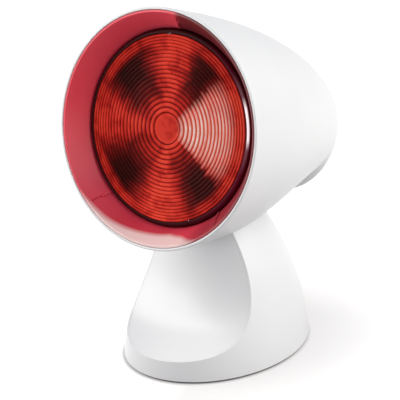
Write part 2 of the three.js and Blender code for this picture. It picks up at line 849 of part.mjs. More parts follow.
function makeBracket() {
  const near = holderBackDepth + fitGap;
  const far = near + bracketThickness;
  const nearFoot = shadePoint(heightAtLevel(bracketFootZ + bracketThickness, near), near);
  const farFoot = shadePoint(heightAtLevel(bracketFootZ, far), far);
  const topHeight = heightAtLevel(bracketFootZ, far) + bracketRise;
  let bracket = toSolid(sideExtrusion([
    [bracketFootStartY, bracketFootZ],
    farFoot,
    shadePoint(topHeight, far),
    shadePoint(topHeight, near),
    nearFoot,
    [bracketFootStartY, bracketFootZ + bracketThickness],
  ], bracketWidth));
  for (const side of [-1, 1]) {
    const footHole = disc(screwShankRadius + fitGap, bracketFootZ - overrun, bracketFootZ + overrun, screwSides);
    footHole.translate(side * bracketScrewX, bracketScrewY, 0);
    bracket = bracket.subtract(toSolid(footHole));
    const plateHole = disc(screwShankRadius + fitGap, -far - overrun, -near + overrun, screwSides);
    plateHole.translate(side * bracketScrewX, 0, 0);
    bracket = bracket.subtract(toSolid(placed(plateHole, toShade)));
  }
  return bracket;
}

addSolid('holder_bracket', makeBracket(), nickelSteel);

const footScrewTop = bracketFootZ + bracketThickness + fitGap + screwHeadHeight;
for (const [name, side] of [['bracket_screw_left', -1], ['bracket_screw_right', 1]]) {
  const piece = add(name, screw(), nickelSteel);
  piece.position.set(side * bracketScrewX, bracketScrewY, footScrewTop);
}

// Holder screws turn into blind holes in the lamp holder's floor
const holderScrewLength = holderFloor * 0.7;
const holderScrewBack = holderBackDepth + 2 * fitGap + bracketThickness + screwHeadHeight;

function drillHolder() {
  const body = shadeAxes.getObjectByName('holder_body');
  let solid = toSolid(body.geometry);
  for (const side of [-1, 1]) {
    const hole = disc(screwShankRadius + fitGap, -holderBackDepth - overrun, -holderBackDepth + holderScrewLength, screwSides);
    hole.translate(side * bracketScrewX, 0, 0);
    solid = solid.subtract(toSolid(hole));
  }
  body.geometry = toGeometry(solid);
}

drillHolder();
for (const [name, side] of [['holder_screw_left', -1], ['holder_screw_right', 1]]) {
  const piece = add(name, screw(), nickelSteel, shadeAxes);
  piece.rotation.x = Math.PI;
  piece.position.set(side * bracketScrewX, 0, -holderScrewBack);
}

// Pivot bolt and nut
const earOuter = knuckleHalfWidth + washerThickness + 2 * runningGap + earThickness;
const boltHeadX = earOuter + runningGap;
add('pivot_bolt', alongX(turned([
  [0, -boltHeadX - boltHeadHeight],
  [pivotBoltRadius, -boltHeadX - boltHeadHeight],
  [pivotBoltRadius, boltHeadX],
  [boltHeadRadius, boltHeadX],
  [boltHeadRadius, boltHeadX + boltHeadHeight * 0.6],
  [boltHeadRadius * 0.75, boltHeadX + boltHeadHeight],
  [0, boltHeadX + boltHeadHeight],
], holderSides), 0, pivotY, pivotZ), nickelSteel);

function makePivotNut() {
  const body = disc(boltHeadRadius, -boltHeadX - boltHeadHeight, -boltHeadX, 6);
  const bore = disc(pivotBoltRadius + fitGap, -boltHeadX - 2 * boltHeadHeight, 0, holderSides);
  const nut = toSolid(body).subtract(toSolid(bore));
  return alongX(toGeometry(nut), 0, pivotY, pivotZ);
}

add('pivot_nut', makePivotNut(), nickelSteel);

// Foot: a bell of ellipses
function footSection(z, inset) {
  const across = Math.max(1 - Math.pow(z / footWidthApex, footWidthPower), 0);
  const along = Math.max(1 - Math.pow(z / footDepthApex, footDepthPower), 0);
  return {
    halfWidth: (footWidth / 2) * Math.pow(across, 1 / footWidthRoot) - inset,
    halfDepth: (footDepth / 2) * Math.pow(along, 1 / footDepthRoot) - inset,
    centreY: -footLean * Math.pow(z / footDepthApex, 2),
  };
}

function footBody(inset, low, high, sides = footSides) {
  const rings = [];
  const steps = Math.ceil((high - low) / footRingHeight);
  for (let i = 0; i <= steps; i += 1) {
    const z = low + ((high - low) * i) / steps;
    const { halfWidth, halfDepth, centreY } = footSection(Math.max(z, 0), inset);
    const ring = [];
    for (let j = 0; j < sides; j += 1) {
      const angle = (j / sides) * Math.PI * 2;
      ring.push(new THREE.Vector3(Math.cos(angle) * halfWidth, centreY + Math.sin(angle) * halfDepth, z));
    }
    rings.push(ring);
  }
  const base = new THREE.Vector3(0, footSection(Math.max(low, 0), inset).centreY, low);
  const top = new THREE.Vector3(0, footSection(high, inset).centreY, high);
  return toSolid(loft(rings, base, top));
}

// The scoop's face: how far back it lies at this height and distance from the middle
function scoopY(x, z) {
  const share = (z - scoopCrownBottomZ) / (scoopCrownTopZ - scoopCrownBottomZ);
  const crown = (1 - share) / scoopCrownBottomRadius + share / scoopCrownTopRadius;
  return scoopPlaneY - (scoopReach * scoopReach) / (z - scoopFloorZ) + (Math.max(crown, 0) * x * x) / 2;
}

// Everything in front of the scoop's face, with the face set back by setback
function scoopBody(setback) {
  const halfSpan = footWidth / 2 + overrun;
  const frontY = -footDepth;
  const topZ = footHeight + overrun;
  const rows = [];
  for (let i = 0; i <= scoopRows; i += 1) {
    const share = Math.pow(i / scoopRows, 1.6);
    const z = scoopStartZ + (topZ - scoopStartZ) * share;
    const ring = [];
    for (let j = 0; j <= scoopColumns; j += 1) {
      const x = halfSpan * ((2 * j) / scoopColumns - 1);
      ring.push(new THREE.Vector3(x, scoopY(x, z) + setback, z));
    }
    ring.push(new THREE.Vector3(halfSpan, frontY, z));
    ring.push(new THREE.Vector3(-halfSpan, frontY, z));
    rows.push(ring);
  }
  const bottom = new THREE.Vector3(0, (scoopY(0, scoopStartZ) + setback + frontY) / 2, scoopStartZ);
  const top = new THREE.Vector3(0, (scoopY(0, topZ) + setback + frontY) / 2, topZ);
  return toSolid(loft(rows, bottom, top));
}

const panelBack = panelThickness + fitGap;
const frontWallBack = panelBack + footWall;
const deckBottomZ = deckTopZ - deckThickness;
const scoopFace = scoopBody(0);
const scoopPanelBack = scoopBody(panelBack);
const scoopWallBack = scoopBody(frontWallBack);

// A frame on the bell's back: z out of the surface, y up along it
function backFrame(z) {
  const step = footWall;
  const here = footSection(z, 0);
  const above = footSection(z + step, 0);
  const fall = here.centreY + here.halfDepth - above.centreY - above.halfDepth;
  const slope = Math.atan2(fall, step);
  const out = new THREE.Vector3(0, Math.cos(slope), Math.sin(slope));
  const up = new THREE.Vector3(0, -Math.sin(slope), Math.cos(slope));
  const matrix = new THREE.Matrix4().makeBasis(new THREE.Vector3(-1, 0, 0), up, out);
  matrix.setPosition(0, here.centreY + here.halfDepth, z);
  return matrix;
}

const switchFrame = backFrame(switchZ);
const glandFrame = backFrame(glandZ);
const bezelBottom = switchProud - switchBezelThickness;
const switchPadDepth = switchBezelThickness + footWall;

const plateScrewPlaces = [];
for (const side of [-1, 1]) {
  for (const end of [-1, 1]) {
    plateScrewPlaces.push([(side * plateScrewSpacingX) / 2, (end * plateScrewSpacingY) / 2]);
  }
}
const postScrewPlaces = [pivotY - postScrewOffset, pivotY + postScrewOffset];
const plateTopZ = plateBottomZ + plateThickness;

function makeFootShell() {
  const outer = footBody(0, footFloorGap, footHeight);
  const cavity = footBody(footWall, footFloorGap - overrun, deckBottomZ, footInnerSides).subtract(scoopWallBack);
  const recess = footBody(footWall, deckTopZ, footHeight + overrun, footInnerSides).subtract(scoopWallBack);
  const panelSeat = footBody(panelLip, footFloorGap, footHeight + overrun).intersect(scoopPanelBack);
  let shell = outer.subtract(cavity).subtract(recess).subtract(scoopFace).subtract(panelSeat);
  // Screw bosses for the bottom plate, joined to the wall
  const bossBottom = plateTopZ + fitGap;
  const bossLimit = footBody(footWall / 2, footFloorGap, footHeight).subtract(scoopPanelBack);
  for (const [x, y] of plateScrewPlaces) {
    const boss = disc(screwBossRadius, bossBottom, bossBottom + plateScrewBossHeight, screwSides);
    boss.translate(x, y, 0);
    const pilot = disc(screwShankRadius + fitGap, 0, bossBottom + plateScrewBossHeight - footWall, screwSides);
    pilot.translate(x, y, 0);
    shell = shell.add(toSolid(boss).intersect(bossLimit)).subtract(toSolid(pilot));
  }
  // Bosses under the deck for the hinge post
  for (const y of postScrewPlaces) {
    const boss = disc(screwBossRadius, deckTopZ - screwLength, deckTopZ - deckThickness / 2, screwSides);
    boss.translate(0, y, 0);
    const pilot = disc(screwShankRadius + fitGap, deckTopZ - screwLength - overrun, deckTopZ + overrun, screwSides);
    pilot.translate(0, y, 0);
    shell = shell.add(toSolid(boss)).subtract(toSolid(pilot));
  }
  const leadHole = disc(grommetNeckRadius + fitGap, deckBottomZ - overrun, deckTopZ + overrun, holderSides);
  leadHole.translate(0, deckGrommetY, 0);
  shell = shell.subtract(toSolid(leadHole));
  // Pad, bezel seat and window for the switch
  const padWidth = switchWidth + 2 * switchBezel + 2 * footWall;
  const padHeight = switchHeight + 2 * switchBezel + 2 * footWall;
  const pad = placed(block(padWidth, padHeight, switchPadDepth, 0, 0, switchProud - switchPadDepth / 2), switchFrame);
  shell = shell.add(toSolid(pad).intersect(footBody(footWall / 2, footFloorGap, footHeight)));
  const seat = block(
    switchWidth + 2 * switchBezel + 2 * fitGap,
    switchHeight + 2 * switchBezel + 2 * fitGap,
    2 * overrun,
    0,
    0,
    bezelBottom - fitGap + overrun,
  );
  const window = block(switchWidth + 2 * fitGap, switchHeight + 2 * fitGap, 6 * overrun, 0, 0, -overrun);
  shell = shell.subtract(toSolid(placed(seat, switchFrame))).subtract(toSolid(placed(window, switchFrame)));
  const glandHole = disc(glandNeckRadius + fitGap, -2 * overrun, overrun, holderSides);
  return shell.subtract(toSolid(placed(glandHole, glandFrame)));
}

addSolid('foot_shell', makeFootShell(), whiteGloss);

function makeFrontPanel() {
  const stock = footBody(panelLip + fitGap, footFloorGap, footHeight);
  return stock.intersect(scoopBody(panelThickness)).subtract(scoopFace);
}

addSolid('front_panel', makeFrontPanel(), whiteGloss);

// Hinge post on the deck
const postFlangeBottom = deckTopZ + fitGap;
const postFlangeTop = postFlangeBottom + postFlangeThickness;

function makeHingePost() {
  const outline = new THREE.Shape();
  outline.moveTo(pivotY - postFlangeHalfDepth, postFlangeBottom);
  outline.lineTo(pivotY + postFlangeHalfDepth, postFlangeBottom);
  outline.lineTo(pivotY + postFlangeHalfDepth, postFlangeTop);
  outline.lineTo(pivotY + knuckleRadius, postFlangeTop);
  outline.lineTo(pivotY + knuckleRadius, pivotZ);
  outline.absarc(pivotY, pivotZ, knuckleRadius, 0, Math.PI, false);
  outline.lineTo(pivotY - knuckleRadius, postFlangeTop);
  outline.lineTo(pivotY - postFlangeHalfDepth, postFlangeTop);
  let post = toSolid(sideShape(outline, 2 * knuckleHalfWidth));
  const boltHole = disc(pivotBoltRadius + runningGap, -slotHalfWidth, slotHalfWidth, holderSides);
  post = post.subtract(toSolid(alongX(boltHole, 0, pivotY, pivotZ)));
  for (const y of postScrewPlaces) {
    const hole = disc(screwShankRadius + fitGap, postFlangeBottom - overrun, postFlangeTop + overrun, screwSides);
    hole.translate(0, y, 0);
    post = post.subtract(toSolid(hole));
  }
  return post;
}

addSolid('hinge_post', makeHingePost(), whiteSatin);

postScrewPlaces.forEach((y, i) => {
  const piece = add(`post_screw_${i + 1}`, screw(), nickelSteel);
  piece.position.set(0, y, postFlangeTop + fitGap + screwHeadHeight);
});

for (const [name, side] of [['friction_washer_left', -1], ['friction_washer_right', 1]]) {
  const inner = knuckleHalfWidth + runningGap;
  const ring = tube(knuckleRadius * 0.9, pivotBoltRadius + runningGap, 0, washerThickness, holderSides);
  const x = side > 0 ? inner : -inner - washerThickness;
  add(name, alongX(ring, x, pivotY, pivotZ), blackPlastic);
}

// Bottom plate with its pads and screws
const padPlaces = [];
for (const side of [-1, 1]) {
  for (const end of [-1, 1]) {
    padPlaces.push([(side * padSpacingX) / 2, (end * padSpacingY) / 2]);
  }
}

function makeBottomPlate() {
  const { halfWidth, halfDepth, centreY } = footSection(plateTopZ, footWall + fitGap);
  const plateShape = new THREE.Shape();
  plateShape.absellipse(0, centreY, halfWidth, halfDepth, 0, Math.PI * 2, false, 0);
  const options = { depth: plateThickness, bevelEnabled: false, curveSegments: footInnerSides / 2 };
  const stock = new THREE.ExtrudeGeometry(plateShape, options);
  stock.translate(0, 0, plateBottomZ);
  let plate = toSolid(fixedGeometry(stock));
  for (const [x, y] of padPlaces) {
    const recess = disc(padRadius + fitGap, plateBottomZ - overrun, plateBottomZ + padRecess + fitGap, holderSides);
    recess.translate(x, y, 0);
    plate = plate.subtract(toSolid(recess));
  }
  for (const [x, y] of plateScrewPlaces) {
    const hole = disc(screwShankRadius + fitGap, plateBottomZ - overrun, plateTopZ + overrun, screwSides);
    const sink = disc(screwHeadRadius + fitGap, plateBottomZ - overrun, plateBottomZ + screwHeadHeight, screwSides);
    hole.translate(x, y, 0);
    sink.translate(x, y, 0);
    plate = plate.subtract(toSolid(hole)).subtract(toSolid(sink));
  }
  return plate;
}

addSolid('bottom_plate', makeBottomPlate(), whiteSatin);

padPlaces.forEach(([x, y], i) => {
  const pad = turned([
    [0, 0],
    [padRadius * 0.9, 0],
    [padRadius, plateBottomZ / 3],
    [padRadius, plateBottomZ + padRecess],
    [0, plateBottomZ + padRecess],
  ], holderSides);
  add(`rubber_pad_${i + 1}`, pad, rubberGrey).position.set(x, y, 0);
});

plateScrewPlaces.forEach(([x, y], i) => {
  const piece = add(`plate_screw_${i + 1}`, screw(), nickelSteel);
  piece.rotation.x = Math.PI;
  piece.position.set(x, y, plateBottomZ - fitGap);
});

function makeBallast() {
  const shape = new THREE.Shape();
  shape.absellipse(0, 0, ballastWidth / 2, ballastDepth / 2, 0, Math.PI * 2, false, 0);
  const options = { depth: ballastThickness, bevelEnabled: false, curveSegments: holderSides };
  const stock = new THREE.ExtrudeGeometry(shape, options);
  stock.translate(0, 0, plateTopZ + fitGap);
  return fixedGeometry(stock);
}

add('ballast_weight', makeBallast(), castIron);
const ballastTopZ = plateTopZ + fitGap + ballastThickness;

// Terminal block
const terminalBottomZ = ballastTopZ + fitGap;

function makeTerminalBlock() {
  const z = terminalBottomZ + terminalHeight / 2;
  let body = toSolid(block(terminalWidth, terminalDepth, terminalHeight, 0, terminalY, z));
  for (const side of [-1, 1]) {
    const well = disc(terminalHoleRadius, z, z + terminalHeight, screwSides);
    well.translate((side * terminalWidth) / 3, terminalY, 0);
    body = body.subtract(toSolid(well));
  }
  return body;
}

addSolid('terminal_block', makeTerminalBlock(), greyPlastic);

// Leads: from the terminal block to the deck, and from the pocket's roof to the lamp holder
function lead(points) {
  return tubeAlong(new THREE.CatmullRomCurve3(points), leadRadius, leadSteps);
}

const terminalTopZ = terminalBottomZ + terminalHeight;
const holderTerminalDepth = holderBackDepth - holderFloor / 2;
for (const [suffix, side, colour] of [['live', 1, brownLead], ['neutral', -1, blueLead]]) {
  const x = (side * leadSpacing) / 2;
  add(`lower_lead_${suffix}`, lead([
    new THREE.Vector3(x, terminalY, terminalTopZ + fitGap),
    new THREE.Vector3(x, terminalY, terminalTopZ + 2 * overrun),
    new THREE.Vector3(x, (terminalY + deckGrommetY) / 2, (terminalTopZ + deckBottomZ) / 2),
    new THREE.Vector3(x * leadGatherShare, deckGrommetY, deckBottomZ - 2 * overrun),
    new THREE.Vector3(x * leadGatherShare, deckGrommetY, deckTopZ),
  ]), colour);
  const [terminalPointY, terminalPointZ] = shadePoint(0, holderTerminalDepth);
  const bend = holderRadius + 3 * leadRadius;
  add(`upper_lead_${suffix}`, lead([
    new THREE.Vector3(x * leadGatherShare, roofGrommetY, pocketTopZ),
    new THREE.Vector3(x * leadGatherShare, roofGrommetY, pocketTopZ + 6 * leadRadius),
    new THREE.Vector3(side * bend * 0.5, roofGrommetY, pocketTopZ + 7 * leadRadius),
    new THREE.Vector3(side * bend, (roofGrommetY + bracketScrewY) / 2, pocketTopZ + 9 * leadRadius),
    new THREE.Vector3(side * (bend + leadRadius), terminalPointY - 2 * overrun, terminalPointZ - overrun),
    new THREE.Vector3(side * (bend + leadRadius), terminalPointY - leadRadius, terminalPointZ),
    new THREE.Vector3(side * (holderRadius * 0.9 + fitGap), terminalPointY, terminalPointZ),
  ]), colour);
}

function grommet(low, high) {
  const neck = grommetNeckRadius;
  const bore = neck - grommetWall;
  return turned([
    [bore, high + grommetLip + fitGap],
    [bore, low - grommetLip - fitGap],
    [neck + grommetLip, low - grommetLip - fitGap],
    [neck + grommetLip, low - fitGap],
    [neck, low - fitGap],
    [neck, high + fitGap],
    [neck + grommetLip, high + fitGap],
    [neck + grommetLip, high + grommetLip + fitGap],
    [bore, high + grommetLip + fitGap],
  ], holderSides);
}

add('deck_grommet', grommet(deckBottomZ, deckTopZ), blackPlastic).position.y = deckGrommetY;
add('roof_grommet', grommet(pocketTopZ - pocketRoofWall, pocketTopZ), blackPlastic).position.y = roofGrommetY;

// Switch
const backAxes = new THREE.Group();
switchFrame.decompose(backAxes.position, backAxes.quaternion, backAxes.scale);
group.add(backAxes);
const rockerPivotDepth = rockerThickness / 2;
const rockerWellWidth = rockerWidth + 2 * rockerWallGap;
const rockerWellHeight = rockerHeight + 2 * rockerWallGap;

function makeSwitchHousing() {
  const bezel = block(
    switchWidth + 2 * switchBezel,
    switchHeight + 2 * switchBezel,
    switchBezelThickness,
    0,
    0,
    switchProud - switchBezelThickness / 2,
  );
  const body = block(switchWidth, switchHeight, switchDepth, 0, 0, switchProud - switchBezelThickness / 2 - switchDepth / 2);
  const wellDepth = rockerThickness + rockerHeight / 3;
  const well = block(rockerWellWidth, rockerWellHeight, wellDepth + overrun, 0, 0, switchProud - (wellDepth - overrun) / 2);
  let housing = toSolid(bezel).add(toSolid(body)).subtract(toSolid(well));
  const axleHole = disc(rockerAxleRadius + runningGap, -switchWidth / 2 + rockerWallGap, switchWidth / 2 - rockerWallGap, screwSides);
  housing = housing.subtract(toSolid(alongX(axleHole, 0, 0, switchProud - rockerPivotDepth)));
  for (const side of [-1, 1]) {
    const backZ = switchProud - switchBezelThickness / 2 - switchDepth;
    const tab = block(switchWidth / 5, switchBezel / 2, 2 * overrun, (side * switchWidth) / 4, 0, backZ - overrun + switchBezel);
    housing = housing.add(toSolid(tab));
  }
  return toGeometry(housing);
}

add('switch_housing', makeSwitchHousing(), blackPlastic, backAxes);

// The rocker rests tilted to its off side, half its throw from level
function makeRocker() {
  const half = rockerHeight / 2;
  const slope = Math.tan((rockerThrow / 2) * degrees);
  const shape = new THREE.Shape();
  shape.moveTo(-half, half * slope + rockerPivotDepth / 2);
  shape.lineTo(0, rockerPivotDepth / 2);
  shape.lineTo(half, half * slope + rockerPivotDepth / 2);
  shape.lineTo(half * 0.8, -rockerPivotDepth);
  shape.lineTo(-half * 0.8, -rockerPivotDepth);
  let rocker = toSolid(sideShape(shape, rockerWidth));
  const axle = disc(rockerAxleRadius, -rockerWellWidth / 2 - rockerWallGap, rockerWellWidth / 2 + rockerWallGap, screwSides);
  rocker = rocker.add(toSolid(alongX(axle, 0, 0, 0)));
  return toGeometry(rocker);
}

const rocker = add('switch_rocker', makeRocker(), blackPlastic, backAxes);
rocker.position.z = switchProud - rockerPivotDepth;
rocker.rotation.x = (rockerThrow / 2) * degrees;

// Cord gland
const glandAxes = new THREE.Group();
glandFrame.decompose(glandAxes.position, glandAxes.quaternion, glandAxes.scale);
group.add(glandAxes);
const glandInnerEnd = -footWall - 4 * fitGap;
add('cord_gland', turned([
  [glandBoreRadius, glandFlangeThickness + fitGap],
  [glandBoreRadius, glandInnerEnd - glandFlangeThickness],
  [glandFlangeRadius * 0.95, glandInnerEnd - glandFlangeThickness],
  [glandFlangeRadius * 0.95, glandInnerEnd],
  [glandNeckRadius, glandInnerEnd],
  [glandNeckRadius, fitGap],
  [glandFlangeRadius, fitGap],
  [glandFlangeRadius, glandFlangeThickness * 0.6 + fitGap],
  [glandFlangeRadius * 0.85, glandFlangeThickness + fitGap],
  [glandBoreRadius, glandFlangeThickness + fitGap],
], holderSides), whiteSatin, glandAxes);

// Centre the lamp's outer box on x = 0 and y = 0
group.updateMatrixWorld(true);
const outerBox = new THREE.Box3().setFromObject(group, true);
group.position.y = -(outerBox.min.y + outerBox.max.y) / 2;
group.updateMatrixWorld(true);

export default group;
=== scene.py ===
"""The looks of a white infrared heat lamp with a tilting shade and a red bulb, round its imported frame."""

import json
import math

import bmesh
import bpy
from mathutils import Matrix, Vector


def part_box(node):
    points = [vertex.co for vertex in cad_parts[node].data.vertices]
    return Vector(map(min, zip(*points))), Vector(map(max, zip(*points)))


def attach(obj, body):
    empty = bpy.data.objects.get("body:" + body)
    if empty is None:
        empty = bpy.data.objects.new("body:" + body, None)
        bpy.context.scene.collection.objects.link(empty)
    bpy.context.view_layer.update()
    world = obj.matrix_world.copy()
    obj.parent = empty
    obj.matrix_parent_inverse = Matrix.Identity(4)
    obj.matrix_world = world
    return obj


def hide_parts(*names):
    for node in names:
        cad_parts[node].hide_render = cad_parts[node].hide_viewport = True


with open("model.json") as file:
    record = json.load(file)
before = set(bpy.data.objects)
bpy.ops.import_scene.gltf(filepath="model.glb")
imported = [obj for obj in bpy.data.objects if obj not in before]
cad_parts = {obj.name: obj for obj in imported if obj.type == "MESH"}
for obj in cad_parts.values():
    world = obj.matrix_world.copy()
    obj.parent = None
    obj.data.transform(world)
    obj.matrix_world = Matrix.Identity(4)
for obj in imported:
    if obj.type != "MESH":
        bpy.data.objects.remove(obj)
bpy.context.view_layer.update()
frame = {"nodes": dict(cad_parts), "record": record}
foot_low, foot_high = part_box("foot_shell")

# Millimetres in the maker's frame, whose y = 0 is the middle of the foot
MM = 0.001
SHIFT_Y = (foot_low.y + foot_high.y) / 2 / MM
TO_ROOM = Matrix.Diagonal((MM, MM, MM, 1)) @ Matrix.Translation((0, SHIFT_Y, 0))

# Shared clearances
FIT_GAP = 0.3
OVERRUN = 5

# Shade
SHADE_RADIUS = 72.25
SHADE_LENGTH = 180
SHADE_TAPER_SHARE = 0.157
SHADE_NOSE_POWER = 2.56
SHADE_NOSE_ROOT = 1.9
SHADE_DROOP = 4.8
SHADE_TILT = math.radians(10.45)
RIM_Y = -64.5
RIM_Z = 159.4
SHADE_WALL = 2
RIM_ROUND = 0.8
BELLY_FLAT_SHARE = 0.25
BELLY_RISE_SHARES = (0.2, 0.64)
BELLY_FALL_SHARES = (0.7, 0.76)
LIP_WIDTH = 1.7
LIP_DEPTH = 4
SHADE_SIDES = 144
SHADE_RINGS = 110
SHADE_INNER_RINGS = 60
RING_POWER = 1.5

# Funnel and bulb
FUNNEL_WALL = 1.3
MOUTH_SETBACK = 0.4
THROAT_DEPTH = 15.4
THROAT_BACK_DEPTH = 16.2
THROAT_END_DEPTH = 17.2
LAND_DEPTH = 22
FUNNEL_END_DEPTH = 30.5
BULB_RADIUS = 60.3
BULB_FRONT_DEPTH = 10.5
BULB_CLEARANCE = 1.3
RIM_RADIUS = 59.3
RING_WIDTH = 3.05
RIM_JOINT = 0.15
LENS_RADIUS = RIM_RADIUS - RING_WIDTH
LENS_FACE_RADIUS = LENS_RADIUS - RIM_JOINT
LENS_FACE_DEPTH = BULB_FRONT_DEPTH + 1.8
LENS_DOME = 0.4
LENS_THICKNESS = 3
LENS_CENTRE_RADIUS = 9.5
RIDGE_COUNT = 19
RIDGE_STEPS = 6
# By this share the ridges stand wider apart than even round the middle, and closer at the rim
RIDGE_GRADING = 0.3
RIDGE_PITCH = (LENS_FACE_RADIUS - LENS_CENTRE_RADIUS) / RIDGE_COUNT
RIDGE_HEIGHT = 0.4
LENS_POLE_RADIUS = 0.05
LENS_CENTRE_RINGS = 6
LENS_BACK_RINGS = 7
LENS_EDGE_ANGLE = math.radians(50)
RING_DROP = 3
RING_THICKNESS = 2.4
RING_SEAM_DEPTH = LENS_FACE_DEPTH + LENS_DOME + RING_DROP + RING_THICKNESS
RING_STEPS = 8
# Two would make the rim's shoulder a quarter of an ellipse, and more makes it flatter with a tighter edge
RING_SQUARENESS = 3
RIM_GROOVE = 0.3
LAND_RADIUS = BULB_RADIUS + BULB_CLEARANCE
# The throat rolls in over the edge of the glass
THROAT_RADIUS = RIM_RADIUS + 0.4
MOUTH_RADIUS = SHADE_RADIUS - LIP_WIDTH - FIT_GAP - FUNNEL_WALL
FUNNEL_ROUNDING = 0.5
FUNNEL_EDGE_ANGLE = math.radians(40)

# Seams of the funnel, each with a clip that stands out of it
RIB_WIDTH = 2.2
RIB_HEIGHT = 0.9
RIB_START_DEPTH = 8.5
RIB_END_DEPTH = 14.5
# Each seam's place round the funnel and its lean from the straight line inward, in degrees
SEAM_PLACES = ((87.3, 23.7), (-45, 0), (-130, 0))
SEAM_WIDTH = 1.1
SEAM_DEPTH = 0.9
SEAM_START_DEPTH = 1.5
SEAM_OVERLAP = 0.5

# Foot
FOOT_WIDTH = 107.1
FOOT_DEPTH = 141.8
FOOT_HEIGHT = 92
FOOT_WIDTH_APEX = 125.1
FOOT_DEPTH_APEX = 127.9
FOOT_WIDTH_POWER = 1.459
FOOT_WIDTH_ROOT = 1.284
FOOT_DEPTH_POWER = 1.686
FOOT_DEPTH_ROOT = 1.411
FOOT_LEAN = 12.9
FLOOR_GAP = 1.5
FOOT_WALL = 2.4
FOOT_SIDES = 144
FOOT_RINGS = 46
RECESS_RINGS = 8
DECK_TOP = 80
DECK_THICKNESS = 2.6

# Scoop in the foot's front
SCOOP_PLANE_Y = -22
SCOOP_REACH = 19.5
SCOOP_FLOOR = 5.5
SCOOP_CROWN_RADII = (250, 50)
SCOOP_CROWN_HEIGHTS = (15, 85)
SCOOP_START = 11
SCOOP_COLUMNS = 40
SCOOP_ROWS = 60
SCOOP_ROW_POWER = 1.6
PANEL_THICKNESS = 2.2
PANEL_LIP = 1.2
SEAM_GAP = 0.12

# Slot in the shade's belly
SLOT_HALF_WIDTH = 30
SLOT_FRONT_Y = -33
SLOT_BACK_Y = 52
SLOT_CORNER = 5
SLOT_LOW = 60
SLOT_HIGH = 108

# Air slots in the shade's back
VENT_WIDTH = 44
VENT_HEIGHT = 2.6
VENT_PITCH = 7.5
VENT_COUNT = 5
VENT_REACH = 26
VENT_ROUNDING_SHARE = 0.45

# Switch and gland openings
SWITCH_HEIGHT_AT = 34
SWITCH_WIDTH = 21
SWITCH_HEIGHT = 14
SWITCH_BEZEL = 1.6
SWITCH_BEZEL_THICKNESS = 3.2
SWITCH_PROUD = 0.8
SWITCH_DEPTH = 11
SWITCH_CORNER = 1.4
SWITCH_ROUNDING = 0.45
ROCKER_WIDTH = 16.4
ROCKER_HEIGHT = 10
ROCKER_THICKNESS = 4.6
ROCKER_THROW = math.radians(16)
ROCKER_WALL_GAP = 0.6
ROCKER_ROUNDING = 0.35
ROCKER_ROWS = 12
ROCKER_FOOT_SHARE = 0.8
GLAND_HEIGHT_AT = 12
GLAND_NECK_RADIUS = 4.7
GLAND_SIDES = 48

# Roundings
CORNER_SEGMENTS = 8
ROUNDING_SEGMENTS = 3
ROUNDED_TURN = math.radians(45)
EDGE_ANGLE = math.radians(32)
WELD_REACH = 0.002

SHADE_FRAME = Matrix.Translation((0, RIM_Y, RIM_Z)) @ Matrix.Rotation(math.pi / 2 - SHADE_TILT, 4, "X")


# Shape formulas, the same as in the part's source

def smooth(value):
    t = min(max(value, 0), 1)
    return t * t * (3 - 2 * t)


def belly_share(share):
    rise_start, rise_end = BELLY_RISE_SHARES
    fall_start, fall_end = BELLY_FALL_SHARES
    rise = smooth((share - rise_start) / (rise_end - rise_start))
    fall = smooth((share - fall_start) / (fall_end - fall_start))
    return BELLY_FLAT_SHARE * rise * (1 - fall)


def shade_place(turn, inset, share, radius=None, depth=None):
    """A point of the shade's skin, in the maker's frame."""
    length = SHADE_LENGTH - inset
    nose = max(1 - share ** SHADE_NOSE_POWER, 0) ** (1 / SHADE_NOSE_ROOT)
    size = (SHADE_RADIUS - inset) * (1 - SHADE_TAPER_SHARE * share) * nose
    if radius is not None:
        size = radius
    if depth is None:
        depth = share * length
    drop = 1 - belly_share((depth - inset) / SHADE_LENGTH) if math.sin(turn) < 0 else 1
    height = math.sin(turn) * size * drop - SHADE_DROOP * share
    place = Vector((math.cos(turn) * size, height, -depth))
    return SHADE_FRAME @ place


def foot_section(height, inset=0):
    """Half width, half depth and middle of the bell's ellipse at this height."""
    z = max(height, 0)
    across = max(1 - (z / FOOT_WIDTH_APEX) ** FOOT_WIDTH_POWER, 0) ** (1 / FOOT_WIDTH_ROOT)
    along = max(1 - (z / FOOT_DEPTH_APEX) ** FOOT_DEPTH_POWER, 0) ** (1 / FOOT_DEPTH_ROOT)
    middle = -FOOT_LEAN * (z / FOOT_DEPTH_APEX) ** 2
    return FOOT_WIDTH / 2 * across - inset, FOOT_DEPTH / 2 * along - inset, middle


def foot_place(turn, height, inset=0):
    half_width, half_depth, middle = foot_section(height, inset)
    return Vector((math.cos(turn) * half_width, middle + math.sin(turn) * half_depth, height))


def scoop_y(x, z):
    low, high = SCOOP_CROWN_HEIGHTS
    wide, tight = SCOOP_CROWN_RADII
    share = (z - low) / (high - low)
    crown = max((1 - share) / wide + share / tight, 0)
    return SCOOP_PLANE_Y - SCOOP_REACH ** 2 / (z - SCOOP_FLOOR) + crown * x * x / 2


def back_frame(height):
    """A frame on the bell's back: z out of the surface, y up along it."""
    _, depth_here, middle_here = foot_section(height)
    _, depth_above, middle_above = foot_section(height + FOOT_WALL)
    fall = middle_here + depth_here - middle_above - depth_above
    slope = math.atan2(fall, FOOT_WALL)
    out = Vector((0, math.cos(slope), math.sin(slope)))
    up = Vector((0, -math.sin(slope), math.cos(slope)))
    frame_matrix = Matrix((Vector((-1, 0, 0)), up, out)).transposed().to_4x4()
    frame_matrix.translation = Vector((0, middle_here + depth_here, height))
    return frame_matrix


# Mesh building

